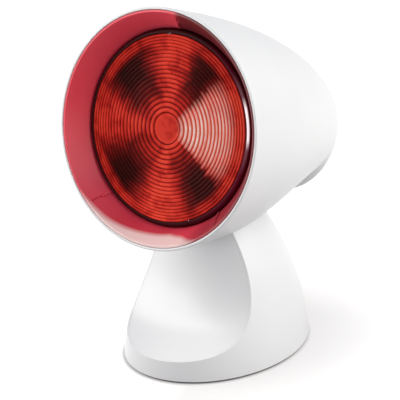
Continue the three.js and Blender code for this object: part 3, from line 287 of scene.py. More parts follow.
def grow_rings(bm, sides, places):
    """A skin of rings in an empty bmesh, each extruded from the last, by functions of the angle.

    It returns the two end rings.
    """
    turn = bm.verts.layers.float.new("turn")
    ring = bmesh.ops.create_circle(bm, segments=sides, radius=1)["verts"]
    for vert in ring:
        vert[turn] = math.atan2(vert.co.y, vert.co.x)
        vert.co = places[0](vert[turn])
    first = list(ring)
    edges = bm.edges[:]
    for place in places[1:]:
        made = bmesh.ops.extrude_edge_only(bm, edges=edges)["geom"]
        ring = [item for item in made if isinstance(item, bmesh.types.BMVert)]
        fresh = set(ring)
        edges = [e for e in made if isinstance(e, bmesh.types.BMEdge) and fresh.issuperset(e.verts)]
        for vert in ring:
            vert.co = place(vert[turn])
    return first, ring


def close_pole(bm, ring):
    middle = sum((vert.co for vert in ring), Vector()) / len(ring)
    bmesh.ops.pointmerge(bm, verts=ring, merge_co=middle)


def fill_ring(bm, ring):
    wanted = set(ring)
    edges = [edge for edge in bm.edges if wanted.issuperset(edge.verts) and edge.is_boundary]
    bmesh.ops.edgeloop_fill(bm, edges=edges)


def outward(bm):
    bmesh.ops.remove_doubles(bm, verts=bm.verts[:], dist=1e-5)
    bmesh.ops.recalc_face_normals(bm, faces=bm.faces[:])


def in_order(bm):
    """Sort by place, because extrude and bevel leave an order that changes from run to run."""
    for items in (bm.verts, bm.edges, bm.faces):
        by_place = sorted(items, key=lambda item: sorted(v.co[:] for v in getattr(item, "verts", [item])))
        ranks = {item: rank for rank, item in enumerate(by_place)}
        items.sort(key=lambda item: ranks[item])


def new_object(name, bm):
    """A finished bmesh in millimetres becomes an object in metres, in the row frame."""
    outward(bm)
    in_order(bm)
    bmesh.ops.transform(bm, matrix=TO_ROOM, verts=bm.verts[:])
    mesh = bpy.data.meshes.new(name)
    bm.to_mesh(mesh)
    bm.free()
    piece = bpy.data.objects.new(name, mesh)
    bpy.context.scene.collection.objects.link(piece)
    return piece


def box_bm(width, depth, height, matrix, corner=0, corner_axis=None):
    """A box with the edges along one of its axes rounded."""
    bm = bmesh.new()
    bmesh.ops.create_cube(bm, size=1, matrix=Matrix.Diagonal((width, depth, height, 1)))
    if corner > 0:
        edges = [
            edge for edge in bm.edges
            if abs((edge.verts[0].co - edge.verts[1].co).normalized()[corner_axis]) > 0.9
        ]
        bmesh.ops.bevel(
            bm, geom=edges, offset=corner, affect="EDGES", segments=CORNER_SEGMENTS,
            profile=0.5, material=-1,
        )
    bmesh.ops.transform(bm, matrix=matrix, verts=bm.verts[:])
    return bm


def cut_with(piece, cutters, operation="DIFFERENCE"):
    """Cut a piece with closed objects in turn, then drop the cutters."""
    for cutter in cutters:
        modifier = piece.modifiers.new("cut", "BOOLEAN")
        modifier.operation = operation
        modifier.solver = "EXACT"
        modifier.object = cutter
        graph = bpy.context.evaluated_depsgraph_get()
        mesh = bpy.data.meshes.new_from_object(piece.evaluated_get(graph))
        piece.modifiers.clear()
        old = piece.data
        piece.data = mesh
        bpy.data.meshes.remove(old)
        bpy.data.objects.remove(cutter)
    piece.data.name = piece.name


def soften(piece, angle=EDGE_ANGLE):
    """Smooth shading, with the real edges kept sharp."""
    bm = bmesh.new()
    bm.from_mesh(piece.data)
    bmesh.ops.remove_doubles(bm, verts=bm.verts[:], dist=1e-7)
    for face in bm.faces:
        face.smooth = True
    for edge in bm.edges:
        edge.smooth = len(edge.link_faces) == 2 and edge.calc_face_angle(math.pi) < angle
    in_order(bm)
    bm.to_mesh(piece.data)
    bm.free()


def round_edges(piece, offset):
    """Round the sharp edges of a finished piece."""
    bm = bmesh.new()
    bm.from_mesh(piece.data)
    edges = [edge for edge in bm.edges if edge.calc_face_angle(0) > ROUNDED_TURN]
    bmesh.ops.bevel(
        bm, geom=edges, offset=offset * MM, affect="EDGES", segments=ROUNDING_SEGMENTS,
        profile=0.5, material=-1,
    )
    bm.to_mesh(piece.data)
    bm.free()


def dress(piece, body, slot, material, *nodes):
    """Give a piece its material and its body, and hide the nodes that it stands for. The slot is not used.
    """
    piece.data.materials.clear()
    piece.data.materials.append(material)
    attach(piece, body)
    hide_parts(*nodes)
    return piece


# Materials

def linear(code):
    """An sRGB hex colour as linear red, green, blue and alpha."""
    parts = [int(code[i:i + 2], 16) / 255 for i in (1, 3, 5)]
    return (*[p / 12.92 if p <= 0.04045 else ((p + 0.055) / 1.055) ** 2.4 for p in parts], 1)


def node(tree, kind, settings=None, stops=(), **inputs):
    """Add a node with its settings, its colour stops, its values and its links.

    An input is named with _ for each space, or i0, i1 and so on by its place in the row.
    """
    made = tree.nodes.new(kind)
    for name, value in (settings or {}).items():
        setattr(made, name, value)
    if stops:
        elements = made.color_ramp.elements
        while len(elements) < len(stops):
            elements.new(1)
        for element, (place, tone) in zip(elements, stops):
            element.position = place
            element.color = linear(tone) if isinstance(tone, str) else (tone, tone, tone, 1)
    for name, value in inputs.items():
        key = int(name[1:]) if name[0] == "i" and name[1:].isdigit() else name.replace("_", " ")
        socket = made.inputs[key]
        if isinstance(value, bpy.types.NodeSocket):
            tree.links.new(value, socket)
        else:
            socket.default_value = value
    return made


def new_material(name, **shader_inputs):
    material = bpy.data.materials.new(name)
    material.use_nodes = True
    tree = material.node_tree
    tree.nodes.clear()
    shader = node(tree, "ShaderNodeBsdfPrincipled", **shader_inputs)
    node(tree, "ShaderNodeOutputMaterial", Surface=shader.outputs["BSDF"])
    return material, tree, shader


def moulded(name, pale, dark, roughness, grain_mm, grain_height, ior=1.53, **more):
    """Moulded plastic: a faint tone drift across the piece and a fine moulded grain."""
    material, tree, shader = new_material(name, Roughness=roughness, IOR=ior, **more)
    place = node(tree, "ShaderNodeTexCoord").outputs["Object"]
    drift = node(tree, "ShaderNodeTexNoise", Vector=place, Scale=1 / (60 * MM), Detail=2.0)
    colour = node(tree, "ShaderNodeValToRGB", stops=[(0.35, dark), (0.65, pale)], Fac=drift.outputs["Fac"])
    tree.links.new(colour.outputs["Color"], shader.inputs["Base Color"])
    grain = node(tree, "ShaderNodeTexNoise", Vector=place, Scale=1 / (grain_mm * MM), Detail=3.0)
    bump = node(
        tree, "ShaderNodeBump", Height=grain.outputs["Fac"], Strength=0.15, Distance=grain_height * MM,
    )
    tree.links.new(bump.outputs["Normal"], shader.inputs["Normal"])
    return material


# Glossy injection-moulded ABS: a hard white skin with a soft even gloss
white_gloss = moulded("white_gloss_abs", "#F1F1F3", "#EEEEF1", 0.3, 1.2, 0.01)
# The same ABS from an etched mould: satin, a shade greyer
white_satin = moulded("white_satin_abs", "#E9EAEE", "#E4E6EA", 0.5, 0.8, 0.03)
# The pocket round the hinge is matt grey as painted shadow, so that the gap under the lamp's shade looks
# dark
pocket_painted_shadow_grey = moulded("grey_matt_abs_painted_shadow", "#8E9095", "#84868B", 0.7, 0.8, 0.04)
# Black nylon of switch and washers: matt with a fine etched grain
black_plastic = moulded("black_nylon", "#1F2022", "#17181A", 0.5, 0.5, 0.03)
# Soft grommet rubber
black_rubber = moulded("black_grommet_rubber", "#262627", "#1C1C1D", 0.8, 0.6, 0.05)
# Grey anti-slip rubber of the pads
pad_rubber = moulded("grey_pad_rubber", "#3C3C3F", "#313134", 0.85, 0.5, 0.08)
# Grey polyamide of the terminal block
grey_plastic = moulded("grey_polyamide", "#8C8F94", "#808388", 0.6, 0.6, 0.04)
# Glazed porcelain: warm white with a wet gloss
ceramic = moulded("glazed_porcelain", "#E9E5DB", "#DDD8CB", 0.2, 4, 0.03, 1.5)
# Black vitrite, the glass round the bulb's foot contact
black_glass = moulded("black_vitrite", "#101012", "#0A0A0C", 0.15, 2, 0.02)
# PVC insulation of the leads
brown_lead = moulded("brown_pvc", "#6D4023", "#613820", 0.5, 1, 0.02)
blue_lead = moulded("blue_pvc", "#2F5D9C", "#29528C", 0.5, 1, 0.02)


def metal(name, pale, dark, roughness, grain_mm):
    """Plated or rolled metal with a drift in tone and gloss."""
    material, tree, shader = new_material(name, Metallic=1.0, Roughness=roughness)
    place = node(tree, "ShaderNodeTexCoord").outputs["Object"]
    drift = node(tree, "ShaderNodeTexNoise", Vector=place, Scale=1 / (grain_mm * MM), Detail=4.0)
    colour = node(tree, "ShaderNodeValToRGB", stops=[(0.3, dark), (0.7, pale)], Fac=drift.outputs["Fac"])
    tree.links.new(colour.outputs["Color"], shader.inputs["Base Color"])
    bump = node(tree, "ShaderNodeBump", Height=drift.outputs["Fac"], Strength=0.1, Distance=0.02 * MM)
    tree.links.new(bump.outputs["Normal"], shader.inputs["Normal"])
    return material


# Nickel-plated steel: pale grey with a soft plated gloss
nickel_steel = metal("nickel_plated_steel", "#C4C5C7", "#AEB0B3", 0.28, 3)
# Rolled brass strip
brass = metal("rolled_brass", "#CDA556", "#B98F45", 0.3, 4)
# Plain grey cast iron
cast_iron = metal("cast_iron", "#5C5E61", "#4A4C4F", 0.65, 1.5)
# Drawn tungsten wire
tungsten = metal("tungsten_wire", "#918F8B", "#7F7D79", 0.4, 1)
# Vacuum-coated aluminium behind the bulb's glass
mirror = metal("aluminised_glass", "#DADBDE", "#CFD1D5", 0.12, 12)


def shade_polar(tree):
    """Round the shade's axis: the place, the turn from 0 to 1, the radius and the depth."""
    place = node(tree, "ShaderNodeTexCoord").outputs["Object"]
    local = node(
        tree, "ShaderNodeMapping", {"vector_type": "TEXTURE"}, Vector=place,
        Location=(TO_ROOM @ SHADE_FRAME).translation, Rotation=(math.pi / 2 - SHADE_TILT, 0, 0),
    ).outputs["Vector"]
    parts = node(tree, "ShaderNodeSeparateXYZ", Vector=local).outputs
    angle = node(tree, "ShaderNodeMath", {"operation": "ARCTAN2"}, i0=parts["Y"], i1=parts["X"])
    turn = node(tree, "ShaderNodeMapRange", Value=angle.outputs[0], From_Min=-math.pi, From_Max=math.pi)
    flat = node(tree, "ShaderNodeVectorMath", {"operation": "MULTIPLY"}, i0=local, i1=(1, 1, 0))
    radius = node(tree, "ShaderNodeVectorMath", {"operation": "LENGTH"}, i0=flat.outputs[0])
    depth = node(tree, "ShaderNodeMath", {"operation": "MULTIPLY"}, i0=parts["Z"], i1=-1.0)
    return place, turn.outputs[0], radius.outputs["Value"], depth.outputs[0]


def by_turn(stops):
    """Stops by degrees, 0 at the right and 90 at the top, as stops by the turn that shade_polar gives."""
    return [(degrees / 360 + 0.5, tone) for degrees, tone in stops]


# Painted reflections round the lens by degrees: four bright sectors with dark ones between
LENS_REFLECTION_SECTORS = (
    (-180, 0.72), (-168, 0.65), (-152, 0.24), (-141, 0.02), (-126, 0.0), (-112, 0.32),
    (-97, 0.85), (-80, 0.85), (-63, 0.32), (-53, 0.04), (-37, 0.04), (-27, 0.78),
    (34, 0.85), (46, 0.24), (54, 0.02), (65, 0.06), (81, 0.75), (98, 0.8),
    (116, 0.3), (127, 0.03), (146, 0.0), (158, 0.28), (169, 0.62), (180, 0.72),
)
SECTOR_RAGGEDNESS = 0.022
STREAK_SCALE = 2.3
# By shares of the radius: painted light keeps the middle and the edge lit all round
ALL_ROUND_SHARES = (
    (0.0, 0.86), (0.18, 0.86), (0.3, 0.56), (0.46, 0.26),
    (0.62, 0.03), (0.84, 0.0), (0.93, 0.6), (1.0, 0.55),
)
# By shares across a ridge: painted shade in its grooves and a painted highlight brightest past its middle
RIDGE_SHARES = ((0.0, 0.28), (0.07, 0.5), (0.18, 0.9), (0.6, 1.0), (0.88, 0.8), (0.96, 0.45), (1.0, 0.28))
GROOVE_CONTRAST = 2.2
GROOVE_FADE_SHARE = 0.75
CENTRE_TONE = 0.72
MOTTLE_SIZE = 9
# Reds for the lens's painted light and shade, from dark to bright
RUBY_SHARES = ((0.0, "#2A0705"), (0.18, "#6A0F0E"), (0.44, "#C22820"), (0.7, "#EA4232"), (0.95, "#FC5840"))
# A painted highlight on the right: a fan of pale arcs, where the ridges would send the light straight out
FAN_SECTORS = ((-33, 0.0), (-24, 0.6), (-6, 1.0), (14, 1.0), (36, 0.6), (48, 0.0))
FAN_REACH_SHARES = ((0.14, 0.0), (0.24, 0.9), (0.5, 1.0), (0.8, 0.62), (0.9, 0.0))
FAN_ARC_SHARES = ((0.2, 0.0), (0.4, 1.0), (0.7, 1.0), (0.88, 0.0))
FAN_WARMTH = 0.68
FAN_RED = "#FA664C"
FAN_HIGHLIGHT_PALE = "#FFECE2"


def ruby_glass_material():
    """Pressed glass with a red filter coat, its ridges' reflections painted into its colour as sectors,
    shaded grooves and pale arcs.
    """
    material, tree, shader = new_material(
        "ruby_pressed_glass", Roughness=0.12, IOR=1.5, Specular_IOR_Level=0.02,
    )
    place, turn, radius, _ = shade_polar(tree)
    way_out = node(tree, "ShaderNodeMapRange", Value=radius, From_Max=LENS_RADIUS * MM).outputs[0]
    # Which ridge this is, from the radius, by the same grading as ridge_radius
    share = node(
        tree, "ShaderNodeMapRange", {"clamp": False}, Value=radius,
        From_Min=LENS_CENTRE_RADIUS * MM, From_Max=LENS_FACE_RADIUS * MM,
    ).outputs[0]
    root = node(
        tree, "ShaderNodeMath", {"operation": "MULTIPLY_ADD"},
        i0=share, i1=-4 * RIDGE_GRADING, i2=(1 + RIDGE_GRADING) ** 2,
    ).outputs[0]
    root = node(tree, "ShaderNodeMath", {"operation": "SQRT"}, i0=root).outputs[0]
    half_count = RIDGE_COUNT / (2 * RIDGE_GRADING)
    ring = node(
        tree, "ShaderNodeMath", {"operation": "MULTIPLY_ADD"},
        i0=root, i1=-half_count, i2=half_count * (1 + RIDGE_GRADING),
    ).outputs[0]
    ring_number = node(tree, "ShaderNodeMath", {"operation": "FLOOR"}, i0=ring).outputs[0]
    across = node(tree, "ShaderNodeMath", {"operation": "FRACT"}, i0=ring).outputs[0]
    # Each ring has its own streaks along it
    angle = node(tree, "ShaderNodeMath", {"operation": "MULTIPLY"}, i0=turn, i1=math.tau).outputs[0]
    track = node(
        tree, "ShaderNodeCombineXYZ",
        X=node(tree, "ShaderNodeMath", {"operation": "COSINE"}, i0=angle).outputs[0],
        Y=node(tree, "ShaderNodeMath", {"operation": "SINE"}, i0=angle).outputs[0],
        Z=ring_number,
    ).outputs[0]
    streaks = node(
        tree, "ShaderNodeTexNoise", Vector=track, Scale=STREAK_SCALE, Detail=3.0, Roughness=0.65,
    ).outputs["Fac"]
    shift = node(
        tree, "ShaderNodeMapRange", {"clamp": False}, Value=streaks,
        To_Min=-SECTOR_RAGGEDNESS, To_Max=SECTOR_RAGGEDNESS,
    ).outputs[0]
    ragged_turn = node(tree, "ShaderNodeMath", {"operation": "ADD"}, i0=turn, i1=shift).outputs[0]
    # Painted reflections: the bright and dark sectors, with the middle and the edge lit all round
    sector = node(tree, "ShaderNodeValToRGB", stops=by_turn(LENS_REFLECTION_SECTORS), Fac=ragged_turn).outputs["Color"]
    always = node(tree, "ShaderNodeValToRGB", stops=ALL_ROUND_SHARES, Fac=way_out).outputs["Color"]
    lit = node(tree, "ShaderNodeMath", {"operation": "MAXIMUM"}, i0=sector, i1=always).outputs[0]
    # The painted shade in the grooves is darkest round the middle
    groove = node(tree, "ShaderNodeValToRGB", stops=RIDGE_SHARES, Fac=across).outputs["Color"]
    contrast = node(
        tree, "ShaderNodeMapRange", Value=radius, From_Min=LENS_CENTRE_RADIUS * MM,
        From_Max=LENS_RADIUS * GROOVE_FADE_SHARE * MM, To_Min=GROOVE_CONTRAST, To_Max=1.0,
    ).outputs[0]
    groove = node(tree, "ShaderNodeMath", {"operation": "POWER"}, i0=groove, i1=contrast).outputs[0]
    ridged = node(
        tree, "ShaderNodeMapRange", Value=radius,
        From_Min=(LENS_CENTRE_RADIUS - RIDGE_PITCH) * MM, From_Max=LENS_CENTRE_RADIUS * MM,
    ).outputs[0]
    relief = node(tree, "ShaderNodeMix", Factor=ridged, A=CENTRE_TONE, B=groove).outputs[0]
    tone = node(tree, "ShaderNodeMath", {"operation": "MULTIPLY"}, i0=lit, i1=relief).outputs[0]
    mottle = node(
        tree, "ShaderNodeTexNoise", Vector=place, Scale=1 / (MOTTLE_SIZE * MM), Detail=5.0,
    ).outputs["Fac"]
    mottle = node(
        tree, "ShaderNodeMapRange", Value=mottle, From_Min=0.36, From_Max=0.56, To_Min=0.62,
    ).outputs[0]
    tone = node(tree, "ShaderNodeMath", {"operation": "MULTIPLY"}, i0=tone, i1=mottle).outputs[0]
    red = node(tree, "ShaderNodeValToRGB", stops=RUBY_SHARES, Fac=tone).outputs["Color"]
    # The painted highlight: a warmer red fan, with a pale arc along each ridge
    fan = node(tree, "ShaderNodeValToRGB", stops=by_turn(FAN_SECTORS), Fac=ragged_turn).outputs["Color"]
    reach = node(tree, "ShaderNodeValToRGB", stops=FAN_REACH_SHARES, Fac=way_out).outputs["Color"]
    glow = node(tree, "ShaderNodeMath", {"operation": "MULTIPLY"}, i0=fan, i1=reach).outputs[0]
    warmth = node(tree, "ShaderNodeMath", {"operation": "MULTIPLY"}, i0=glow, i1=FAN_WARMTH).outputs[0]
    red = node(
        tree, "ShaderNodeMix", {"data_type": "RGBA"}, i0=warmth, i6=red, i7=linear(FAN_RED),
    ).outputs[2]
    arc = node(tree, "ShaderNodeValToRGB", stops=FAN_ARC_SHARES, Fac=across).outputs["Color"]
    glint = node(
        tree, "ShaderNodeMapRange", Value=streaks, From_Min=0.3, From_Max=0.62, To_Min=0.42,
    ).outputs[0]
    pale = node(tree, "ShaderNodeMath", {"operation": "MULTIPLY"}, i0=glow, i1=arc).outputs[0]
    pale = node(tree, "ShaderNodeMath", {"operation": "MULTIPLY"}, i0=pale, i1=glint).outputs[0]
    colour = node(
        tree, "ShaderNodeMix", {"data_type": "RGBA"}, i0=pale, i6=red, i7=linear(FAN_HIGHLIGHT_PALE),
    ).outputs[2]
    tree.links.new(colour, shader.inputs["Base Color"])
    return material


ruby_glass = ruby_glass_material()

# Painted light on the rim: its maroon is lighter towards the right
RIM_LIT_REDS = ((-70, "#38060C"), (0, "#7A1636"), (70, "#38060C"))
# A painted glint: its pale colour and its place round the rim
RIM_GLINT_PALE = "#FFF0F2"
RIM_GLINT_SECTORS = ((-18, 0.0), (-3, 0.12), (3, 1.0), (21, 1.0), (28, 0.12), (44, 0.0))
# The painted glint's place by shares of the rim's width, outward
RIM_GLINT_SHARES = ((0.24, 0.0), (0.34, 1.0), (0.76, 1.0), (0.88, 0.0))


def ruby_rim_material():
    """The fused rim of the same glass: maroon painted lighter to the right, and a painted glint at the right
    that is also metallic, so it mirrors the room.
    """
    material, tree, shader = new_material("ruby_glass_rim", Roughness=0.22, IOR=1.5, Specular_IOR_Level=0.04)
    _, turn, radius, _ = shade_polar(tree)
    # A painted glint at the right, whose pale colour also turns metallic there and mirrors the room
    arc = node(tree, "ShaderNodeValToRGB", stops=by_turn(RIM_GLINT_SECTORS), Fac=turn).outputs["Color"]
    way_out = node(
        tree, "ShaderNodeMapRange", Value=radius, From_Min=LENS_RADIUS * MM, From_Max=RIM_RADIUS * MM,
    ).outputs[0]
    line = node(tree, "ShaderNodeValToRGB", stops=RIM_GLINT_SHARES, Fac=way_out).outputs["Color"]
    bright = node(tree, "ShaderNodeMath", {"operation": "MULTIPLY"}, i0=arc, i1=line).outputs[0]
    # The maroon, painted lighter towards the right
    maroon = node(tree, "ShaderNodeValToRGB", stops=by_turn(RIM_LIT_REDS), Fac=turn).outputs["Color"]
    colour = node(
        tree, "ShaderNodeMix", {"data_type": "RGBA"}, i0=bright, i6=maroon, i7=linear(RIM_GLINT_PALE),
    ).outputs[2]
    tree.links.new(colour, shader.inputs["Base Color"])
    tree.links.new(bright, shader.inputs["Metallic"])
    return material


ruby_rim = ruby_rim_material()

FUNNEL_RED_SHARES = ((0.35, "#D03448"), (0.65, "#E6445A"))
# Painted light: from the top seam round the left the red is painted lighter, where the light falls on the
# inner wall
PAINTED_LIT_REDS = ((-180, "#F93C51"), (85, "#FF5B6E"), (130, "#FC485C"), (180, "#F93C51"))
PAINTED_LIT_SECTORS = ((-180, 0.9), (-165, 0.8), (-140, 0.0), (84, 0.0), (86, 0.9), (180, 0.9))
# Painted sheen low down: a pale zone for the light reflected off the funnel's bottom, whose reach inward is
# given by shares of the reach below
PAINTED_SHEEN_RED = "#FCDAD8"
SHEEN_REACH = 22
SHEEN_REACH_SECTORS = (
    (-139, 0.0), (-129, 0.1), (-116, 0.18), (-95, 0.38), (-79, 0.48), (-70, 0.36), (-63, 0.14), (-57, 0.0),
)
# How far in millimetres the painted sheen fades out past its edge, and is full within it; the edge stands
# for the edge of the rim's shadow
SHEEN_EDGE = (-0.5, 2.8)
# Painted shade: the right is dark up to the top seam, which leans by this many degrees over the funnel's
# length
PAINTED_SHADE_RED = "#6A2028"
PAINTED_SHADE_SECTORS = ((-70, 0.0), (-57, 0.55), (-20, 0.85), (40, 1.0), (76, 1.0), (84, 0.85), (84.6, 0.0))
SEAM_LEAN = 5.8
SEAM_LEAN_RATE = SEAM_LEAN / 360 / ((THROAT_DEPTH - MOUTH_SETBACK) * MM)


def funnel_material():
    """Red ABS with a soft gloss, painted lighter at the left, with a painted sheen low down and painted
    shade at the right.
    """
    material, tree, shader = new_material(
        "funnel_red_abs", Roughness=0.38, IOR=1.53, Specular_IOR_Level=0.35,
    )
    place, turn, _, depth = shade_polar(tree)
    drift = node(tree, "ShaderNodeTexNoise", Vector=place, Scale=1 / (45 * MM), Detail=2.0).outputs["Fac"]
    red = node(tree, "ShaderNodeValToRGB", stops=FUNNEL_RED_SHARES, Fac=drift).outputs["Color"]
    # Painted light: a lighter red from the top seam round the left
    painted_lit_red = node(tree, "ShaderNodeValToRGB", stops=by_turn(PAINTED_LIT_REDS), Fac=turn).outputs["Color"]
    clear = node(tree, "ShaderNodeValToRGB", stops=by_turn(PAINTED_LIT_SECTORS), Fac=turn).outputs["Color"]
    red = node(tree, "ShaderNodeMix", {"data_type": "RGBA"}, i0=clear, i6=red, i7=painted_lit_red).outputs[2]
    # Painted sheen: pale low down, out to the wavy edge of the rim's shadow
    edge = node(tree, "ShaderNodeValToRGB", stops=by_turn(SHEEN_REACH_SECTORS), Fac=turn).outputs["Color"]
    reach = node(tree, "ShaderNodeMapRange", Value=edge, To_Max=SHEEN_REACH * MM).outputs[0]
    within = node(tree, "ShaderNodeMath", {"operation": "SUBTRACT"}, i0=reach, i1=depth).outputs[0]
    pale = node(
        tree, "ShaderNodeMapRange", Value=within, From_Min=SHEEN_EDGE[0] * MM, From_Max=SHEEN_EDGE[1] * MM,
    ).outputs[0]
    colour = node(
        tree, "ShaderNodeMix", {"data_type": "RGBA"}, i0=pale, i6=red, i7=linear(PAINTED_SHEEN_RED),
    ).outputs[2]
    # Painted shade at the right, up to the leaning top seam
    lean = node(tree, "ShaderNodeMath", {"operation": "MULTIPLY"}, i0=depth, i1=SEAM_LEAN_RATE).outputs[0]
    leaning_turn = node(tree, "ShaderNodeMath", {"operation": "SUBTRACT"}, i0=turn, i1=lean).outputs[0]
    dark = node(tree, "ShaderNodeValToRGB", stops=by_turn(PAINTED_SHADE_SECTORS), Fac=leaning_turn).outputs["Color"]
    colour = node(
        tree, "ShaderNodeMix", {"data_type": "RGBA"}, i0=dark, i6=colour, i7=linear(PAINTED_SHADE_RED),
    ).outputs[2]
    tree.links.new(colour, shader.inputs["Base Color"])
    grain = node(tree, "ShaderNodeTexNoise", Vector=place, Scale=1 / (1.5 * MM), Detail=3.0)
    bump = node(tree, "ShaderNodeBump", Height=grain.outputs["Fac"], Strength=0.1, Distance=0.01 * MM)
    tree.links.new(bump.outputs["Normal"], shader.inputs["Normal"])
    return material


funnel_red = funnel_material()


# Foot

def bell_bm(inset, low, high, rings=FOOT_RINGS):
    bm = bmesh.new()
    heights = [low + (high - low) * i / rings for i in range(rings + 1)]
    places = [lambda turn, z=z: foot_place(turn, z, inset) for z in heights]
    first, last = grow_rings(bm, FOOT_SIDES, places)
    fill_ring(bm, first)
    fill_ring(bm, last)
    return bm


def scoop_bm(setback):
    """All that lies in front of the scoop's face, moved back by setback."""
    bm = bmesh.new()
    half_span = FOOT_WIDTH / 2 + OVERRUN
    top = FOOT_HEIGHT + OVERRUN
    bmesh.ops.create_grid(bm, x_segments=SCOOP_COLUMNS, y_segments=SCOOP_ROWS, size=1)
    face_verts = bm.verts[:]
    for vert in face_verts:
        x = vert.co.x * half_span
        share = ((vert.co.y + 1) / 2) ** SCOOP_ROW_POWER
        z = SCOOP_START + (top - SCOOP_START) * share
        vert.co = Vector((x, scoop_y(x, z) + setback, z))
    edges = [edge for edge in bm.edges if edge.is_boundary]
    made = bmesh.ops.extrude_edge_only(bm, edges=edges)["geom"]
    rim = [item for item in made if isinstance(item, bmesh.types.BMVert)]
    for vert in rim:
        vert.co.y = -FOOT_DEPTH
    fill_ring(bm, rim)
    return bm


def moved_out(frame_matrix, distance):
    """The same frame, moved along its own z."""
    return frame_matrix @ Matrix.Translation((0, 0, distance))


def make_foot():
    """The bell-shaped shell with its openings, and the scooped face that lies in its front."""
    shell = new_object("foot_skin", bell_bm(0, FLOOR_GAP, FOOT_HEIGHT))
    switch_frame = back_frame(SWITCH_HEIGHT_AT)
    gland_frame = back_frame(GLAND_HEIGHT_AT)
    front_wall = PANEL_THICKNESS + FIT_GAP + FOOT_WALL
    deck_bottom = DECK_TOP - DECK_THICKNESS
    cavity = new_object("cavity", bell_bm(FOOT_WALL, FLOOR_GAP - OVERRUN, deck_bottom))
    cut_with(cavity, [new_object("cavity_front", scoop_bm(front_wall))])
    recess = new_object("recess", bell_bm(FOOT_WALL, DECK_TOP, FOOT_HEIGHT + OVERRUN, RECESS_RINGS))
    cut_with(recess, [new_object("recess_front", scoop_bm(front_wall))])
    seat = new_object("seat", bell_bm(PANEL_LIP, FLOOR_GAP + FOOT_WALL, FOOT_HEIGHT + OVERRUN))
    cut_with(seat, [new_object("seat_front", scoop_bm(PANEL_THICKNESS + FIT_GAP))], "INTERSECT")
    bezel_bottom = SWITCH_PROUD - SWITCH_BEZEL_THICKNESS - FIT_GAP
    switch_seat = new_object("switch_seat", box_bm(
        SWITCH_WIDTH + 2 * SWITCH_BEZEL + 2 * FIT_GAP,
        SWITCH_HEIGHT + 2 * SWITCH_BEZEL + 2 * FIT_GAP,
        2 * OVERRUN,
        moved_out(switch_frame, bezel_bottom + OVERRUN), SWITCH_CORNER + FIT_GAP, 2,
    ))
    gland = bmesh.new()
    bmesh.ops.create_cone(
        gland, cap_ends=True, segments=GLAND_SIDES, radius1=GLAND_NECK_RADIUS + FIT_GAP,
        radius2=GLAND_NECK_RADIUS + FIT_GAP, depth=4 * OVERRUN, matrix=gland_frame,
    )
    cut_with(shell, [
        cavity, recess, new_object("scoop", scoop_bm(0)), seat, switch_seat, new_object("gland_hole", gland),
    ])
    soften(shell)
    dress(shell, "foot", "white_gloss", white_gloss, "foot_shell")
    panel = new_object("scooped_front", bell_bm(PANEL_LIP + SEAM_GAP, FLOOR_GAP, FOOT_HEIGHT))
    cut_with(panel, [new_object("panel_back", scoop_bm(PANEL_THICKNESS))], "INTERSECT")
    cut_with(panel, [new_object("panel_face", scoop_bm(0))])
    soften(panel)
    dress(panel, "foot", "white_gloss", white_gloss, "front_panel")


def make_switch():
    """The switch's frame with a rounded edge, and its rocker with a dished face in the off position."""
    switch_frame = back_frame(SWITCH_HEIGHT_AT)
    housing = new_object("switch_frame", box_bm(
        SWITCH_WIDTH + 2 * SWITCH_BEZEL, SWITCH_HEIGHT + 2 * SWITCH_BEZEL, SWITCH_BEZEL_THICKNESS,
        moved_out(switch_frame, SWITCH_PROUD - SWITCH_BEZEL_THICKNESS / 2), SWITCH_CORNER, 2,
    ))
    well_width = ROCKER_WIDTH + 2 * ROCKER_WALL_GAP
    well_height = ROCKER_HEIGHT + 2 * ROCKER_WALL_GAP
    well_depth = ROCKER_THICKNESS + ROCKER_HEIGHT / 3
    body_depth = SWITCH_PROUD - SWITCH_BEZEL_THICKNESS / 2 - SWITCH_DEPTH / 2
    cut_with(housing, [new_object("switch_body", box_bm(
        SWITCH_WIDTH, SWITCH_HEIGHT, SWITCH_DEPTH, moved_out(switch_frame, body_depth),
    ))], "UNION")
    cut_with(housing, [new_object("switch_well", box_bm(
        well_width, well_height, 2 * well_depth, moved_out(switch_frame, SWITCH_PROUD),
    ))])
    round_edges(housing, SWITCH_ROUNDING)
    soften(housing)
    dress(housing, "foot", "black_plastic", black_plastic, "switch_housing")
    pivot_depth = ROCKER_THICKNESS / 2
    rise = ROCKER_HEIGHT / 2 * math.tan(ROCKER_THROW / 2)
    bm = bmesh.new()
    bmesh.ops.create_grid(bm, x_segments=1, y_segments=ROCKER_ROWS, size=1)
    for vert in bm.verts:
        x, y, _ = vert.co
        vert.co = (x * ROCKER_WIDTH / 2, y * ROCKER_HEIGHT / 2, pivot_depth / 2 + rise * y * y)
    edges = [edge for edge in bm.edges if edge.is_boundary]
    made = bmesh.ops.extrude_edge_only(bm, edges=edges)["geom"]
    base = [item for item in made if isinstance(item, bmesh.types.BMVert)]
    for vert in base:
        vert.co.y *= ROCKER_FOOT_SHARE
        vert.co.z = -pivot_depth
    fill_ring(bm, base)
    place = moved_out(switch_frame, SWITCH_PROUD - pivot_depth) @ Matrix.Rotation(ROCKER_THROW / 2, 4, "X")
    bmesh.ops.transform(bm, matrix=place, verts=bm.verts[:])
    rocker = new_object("rocker_cap", bm)
    round_edges(rocker, ROCKER_ROUNDING)
    soften(rocker)
    dress(rocker, "rocker", "black_plastic", black_plastic, "switch_rocker")


# Shade

